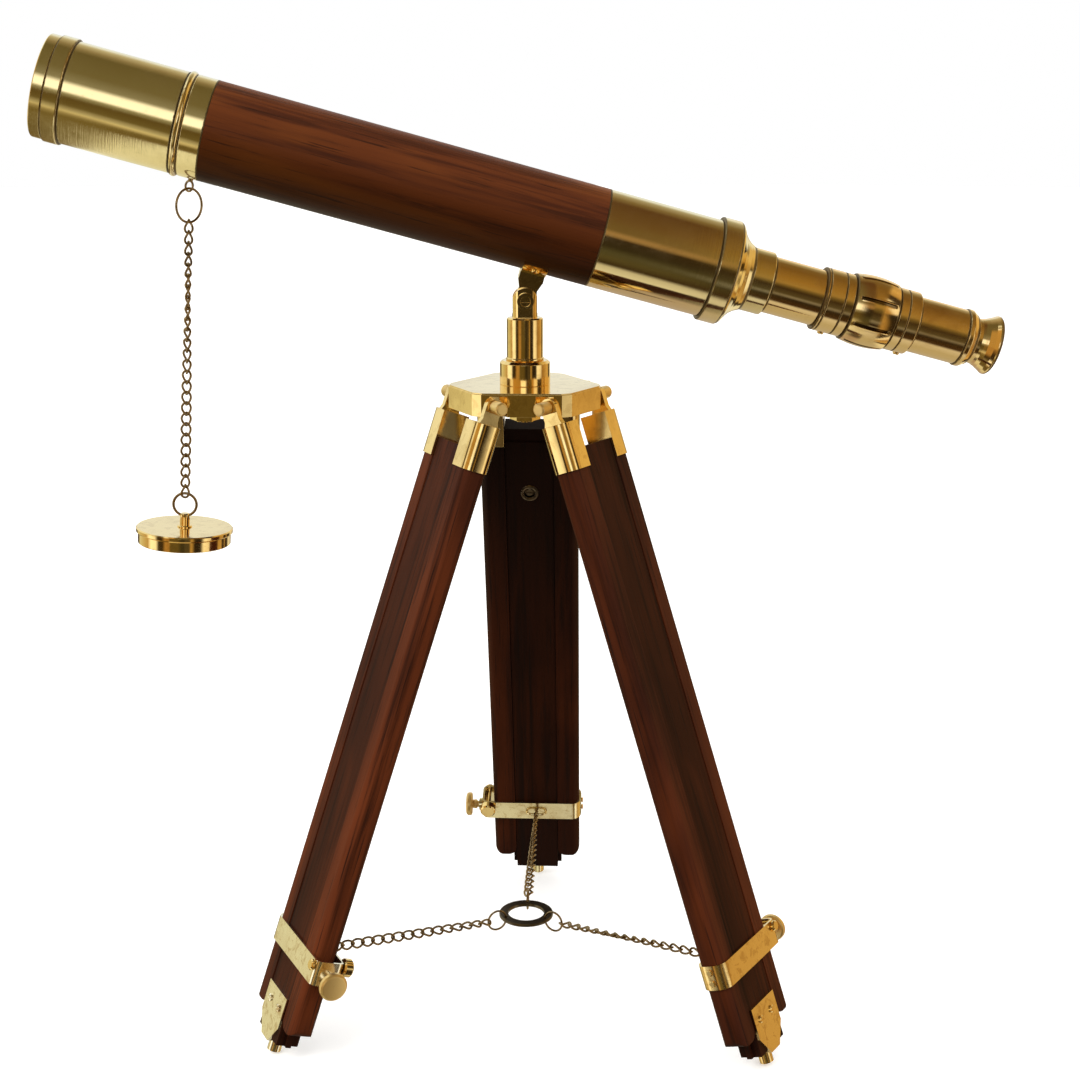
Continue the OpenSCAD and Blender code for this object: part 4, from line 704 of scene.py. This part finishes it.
z = np.linspace(at["bulge"], at["bulgeEnd"], fluted["rows"])
bulge = np.stack([fluted["start"] + fluted["rise"] * (1 - ((z - middle) / halfLength) ** 2), z], -1)
back = at["bulgeEnd"] + fluted["step"]
lead = rounded([[fluted["front"], at["grip"]], [fluted["ring"], at["grip"]], *dip(fluted["ring"], at["grip"] + 1.6),
                *dip(fluted["ring"], at["grip"] + 9.3), [fluted["ring"], at["bulge"] - fluted["step"]],
                [fluted["ring"] - 0.5, at["bulge"] - 0.7], [fluted["ring"] - 0.5, at["bulge"] - 0.1],
                [fluted["start"] - 0.35, at["bulge"]]],
               [0.1, 0.45, 0.1, 0.15, 0.1, 0.1, 0.15, 0.1, 0.35, 0.1, 0.1, 0.1], steps=3)
tail = rounded([[fluted["start"] - 0.35, at["bulgeEnd"]], [fluted["ring"] - 0.5, at["bulgeEnd"] + 0.1],
                [fluted["ring"] - 0.5, back - 0.1], [fluted["ring"], back], *dip(fluted["ring"], back + 4.2),
                [fluted["ring"], at["gripEnd"]], [fluted["sleeve"], at["gripEnd"]],
                [fluted["sleeve"], at["grip"] + 10.4], [fluted["front"], at["grip"] + 10.2]],
               [0.1, 0.1, 0.1, 0.35, 0.1, 0.15, 0.1, 0.45, 0.1, 0.1, 0.1], steps=3)
profile = np.vstack([lead, bulge, tail])
turn = np.linspace(0, 2 * np.pi, fluted["turns"], endpoint=False)
radius, z = profile[:, :1] + 0 * turn, profile[:, 1:] + 0 * turn
fluteTurn = 2 * np.pi / fluted["flutes"]
aside = np.abs(((turn / fluteTurn) % 1.0) - 0.5) * fluteTurn * fluted["slotRadius"]
fade = np.clip((halfLength - fluted["slotEnd"] - np.abs(z - middle)) / fluted["fade"], 0, 1)
fade = fade * fade * (3 - 2 * fade)
trough = np.clip((fluted["gap"] / 2 - aside) / fluted["wall"], 0, 1)
burr = np.exp(-((aside - fluted["gap"] / 2 - fluted["burrWidth"]) / fluted["burrWidth"]) ** 2)
inBulge = (z > at["bulge"]) & (z < at["bulgeEnd"]) & (radius > fluted["ring"])
radius = radius - np.where(inBulge, fade * (fluted["depth"] * trough - fluted["burr"] * burr), 0)
grid = scope.put(np.stack([radius * np.cos(turn), radius * np.sin(turn), z], -1))
grip = dress(gridMesh("gripBarrel", grid, "draw"), slotBrass)
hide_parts("grip_barrel")

eyepiece = {"r": 12.9, "bore": 12.0, "from": 387.8, "bead": 13.5, "throat": 10.5}
turnedPiece("eyepieceTube", "eyepiece", [
    [eyepiece["bore"], eyepiece["from"]], [eyepiece["r"], eyepiece["from"]],
    [eyepiece["r"], at["eyeBead"] - 0.2], [eyepiece["r"] - 0.2, at["eyeBead"]],
    [eyepiece["bead"], at["eyeBead"] + 0.5], [eyepiece["bead"], at["eyeBead"] + 2.4],
    [eyepiece["r"] - 0.8, at["eyecup"] - 0.4], [eyepiece["r"] - 1, at["eyecup"]],
    [eyepiece["throat"], at["eyecup"]], [eyepiece["throat"], at["eyeBead"]], [eyepiece["bore"], at["eyeBead"]]],
    [0.2, 0.2, 0.1, 0.1, 0.5, 0.9, 0.2, 0.1, 0.1, 0.1, 0.1], gripBrass, turns=160, replaces=["eyepiece_tube"])

cup = {"neck": 10.75, "bell": 13.85, "lens": 7.35, "throat": 10.5}
start, end = at["eyecup"], at["end"]
lensSeat = [[cup["lens"] - 1.6, start + 3.4], [cup["lens"] + 0.05, start + 3.4], [cup["lens"] + 0.05, start + 1.2],
            [cup["lens"] - 1.6, start + 1.2]]
turnedPiece("eyecupBell", "eyepiece", [
    [cup["lens"] - 1.6, start - 4], [cup["throat"], start - 4], [cup["throat"], start], [cup["neck"] + 0.6, start],
    [cup["neck"] - 0.2, start + 0.8], [cup["neck"] - 0.2, start + 2.6], [cup["neck"] + 0.1, start + 4],
    [cup["neck"] + 0.8, start + 5.8], [cup["bell"] - 1.1, end - 3.2], [cup["bell"] - 0.2, end - 1.7],
    [cup["bell"], end - 1.2], [cup["bell"], end - 0.6], [cup["bell"] - 0.5, end], [cup["bell"] - 2, end],
    [cup["bell"] - 4.2, end - 2.2], [cup["bell"] - 6.4, end - 4.6], [cup["lens"] - 1.6, end - 5.6],
    *lensSeat],
    [0.2, 0.2, 0.1, 0.2, 0.6, 1.5, 2, 2, 2, 0.6, 0.3, 0.3, 0.4, 0.6, 2, 1.5, 0.3, 0, 0, 0, 0],
    gripBrass, turns=160, replaces=["eyecup"])
print("stage: tubes turned")

# Width of the bevel at each node's edges, in mm
softWidths = {"head_plate": 0.45, "tube_saddle": 0.3, "turning_post": 0.3, "tilt_screw": 0.15, "tilt_nut": 0.3,
              "post_nut": 0.3, "lens_cap": 0.3, "spreader_ring": 0.2, "grip_screws": 0.12, "saddle_screws": 0.12,
              "lens_retainer": 0.1}
legWidths = {"leg_pin": 0.3, "outer_slats": 0.35, "centre_slat": 0.5, "ferrules": 0.25, "shoe": 0.25,
             "band": 0.2, "band_rivets": 0.15, "thumb_screw": 0.3, "slat_eyelet": 0.1}
for side in sides:
    softWidths.update({side + "_" + part: width for part, width in legWidths.items()})
for node, width in softWidths.items():
    softened(node, finishOf[node], width)
print("stage: edges softened")


def wirePiece(name, body, paths, radii, finish, corners=10):
    # Closed wires: at each point of a path, a ring of vertices in the plane of the outward
    # direction and the cross product of the path's direction with it.
    paths = np.asarray(paths, float)
    radii = np.asarray(radii, float)[:, None, None, None] * millimetre
    ahead = np.roll(paths, -1, 1) - np.roll(paths, 1, 1)
    ahead /= np.linalg.norm(ahead, axis=-1, keepdims=True)
    out = paths - paths.mean(1, keepdims=True)
    out -= (out * ahead).sum(-1, keepdims=True) * ahead
    out /= np.linalg.norm(out, axis=-1, keepdims=True)
    across = np.cross(ahead, out)
    a = np.linspace(0, 2 * np.pi, corners, endpoint=False)[:, None]
    points = paths[:, :, None] + radii * (np.cos(a) * out[:, :, None] + np.sin(a) * across[:, :, None])
    count, steps = paths.shape[:2]
    index = np.arange(count * steps * corners).reshape(count, steps, corners)
    along, beside = np.roll(index, -1, 1), np.roll(index, -1, 2)
    quads = np.stack([index, beside, np.roll(along, -1, 2), along], -1).reshape(-1, 4)
    mesh = bpy.data.meshes.new(name)
    mesh.from_pydata(points.reshape(-1, 3).tolist(), [], quads.tolist())
    return dress(finishedPiece(name, mesh, body, sharpFrom["wire"]), finish)


# The wire of a ring is 1.0 mm and that of a curb link a little thicker; lengths in mm.
chain = {"wire": 1.0, "play": 0.15, "beside": 2.05, "steps": 48, "thick": 1.08, "roll": 45}
bow = np.linspace(0, 2 * np.pi, chain["steps"], endpoint=False)


def chainPaths(place, start, count, pitch, roll, twist):
    # Curb chain: a link's wire runs a cos t along the chain and b sin t beside it. The direction
    # beside it is rolled by up to 45 degrees each way towards the link's ends, and turns on by
    # the twist from the first link to the last.
    half = (pitch + chain["wire"] + chain["play"]) / 2
    number = np.arange(count)[:, None]
    phi = np.radians(roll + twist * number / (count - 1) + chain["roll"] * np.cos(bow))
    along = start + number * pitch + half - half * np.cos(bow)
    beside = chain["beside"] * np.sin(bow)
    return place.put(np.stack([beside * np.cos(phi), beside * np.sin(phi), -along], -1))


def ringPath(place, radius):
    # A ring's wire runs x = r cos t, z = r sin t in its own place
    return place.put(np.stack([radius * np.cos(bow), 0 * bow, radius * np.sin(bow)], -1))[None]


ringHeight = (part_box("spreader_ring")[0][2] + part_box("spreader_ring")[1][2]) / 2
spreader = {"links": 17, "ringMiddle": 11.25, "jump": 4.9, "lead": 1.75, "twist": 90}
for side in sides:
    loop = np.array(joints[side + "_chain_swing"]["pos_m"])
    radial = loop - stand.origin
    radial = unit([radial[0], radial[1], 0])
    middle = np.array([*stand.origin[:2], ringHeight])
    centre = middle + radial * (spreader["ringMiddle"] + spreader["jump"]) * millimetre
    far = centre + radial * (spreader["jump"] - chain["wire"] - chain["play"]) * millimetre
    back = unit(loop - far)
    tangent = np.cross(upright, radial)
    run = Place(loop, np.cross(-tangent, back), -tangent, back)
    reach = np.linalg.norm(loop - far) / millimetre + spreader["lead"] - chain["wire"] - chain["play"]
    pitch = reach / spreader["links"]
    links = chainPaths(run, -spreader["lead"], spreader["links"], pitch, 0, spreader["twist"])
    jump = ringPath(Place(centre, radial, tangent, upright), spreader["jump"])
    piece = wirePiece(side + "ChainLinks", side + "_chain", np.vstack([links, jump]),
                      [chain["thick"] / 2] * spreader["links"] + [chain["wire"] / 2], agedBrass)
    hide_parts(side + "_chain")

hang = {"links": 26, "pitch": 4.85, "lead": 1.2, "roll": 50, "twist": 180, "ring": 5.3, "ringWire": 1.3}
leanX, leanY = unit(joints["cap_swing"]["axis"]), unit(joints["chain_swing"]["axis"])
hook = Place(joints["chain_swing"]["pos_m"], leanX, leanY, np.cross(leanX, leanY))
links = chainPaths(hook, -hang["lead"], hang["links"], hang["pitch"], hang["roll"], hang["twist"])
capRing = ringPath(Place(joints["cap_swing"]["pos_m"], *hook.turn).shifted(z=hang["ring"]), hang["ring"])
piece = wirePiece("capChainLinks", "cap_chain", np.vstack([links, capRing]),
                  [chain["thick"] / 2] * hang["links"] + [hang["ringWire"] / 2], agedBrass)
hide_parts("cap_chain")
print("stage: chains linked")
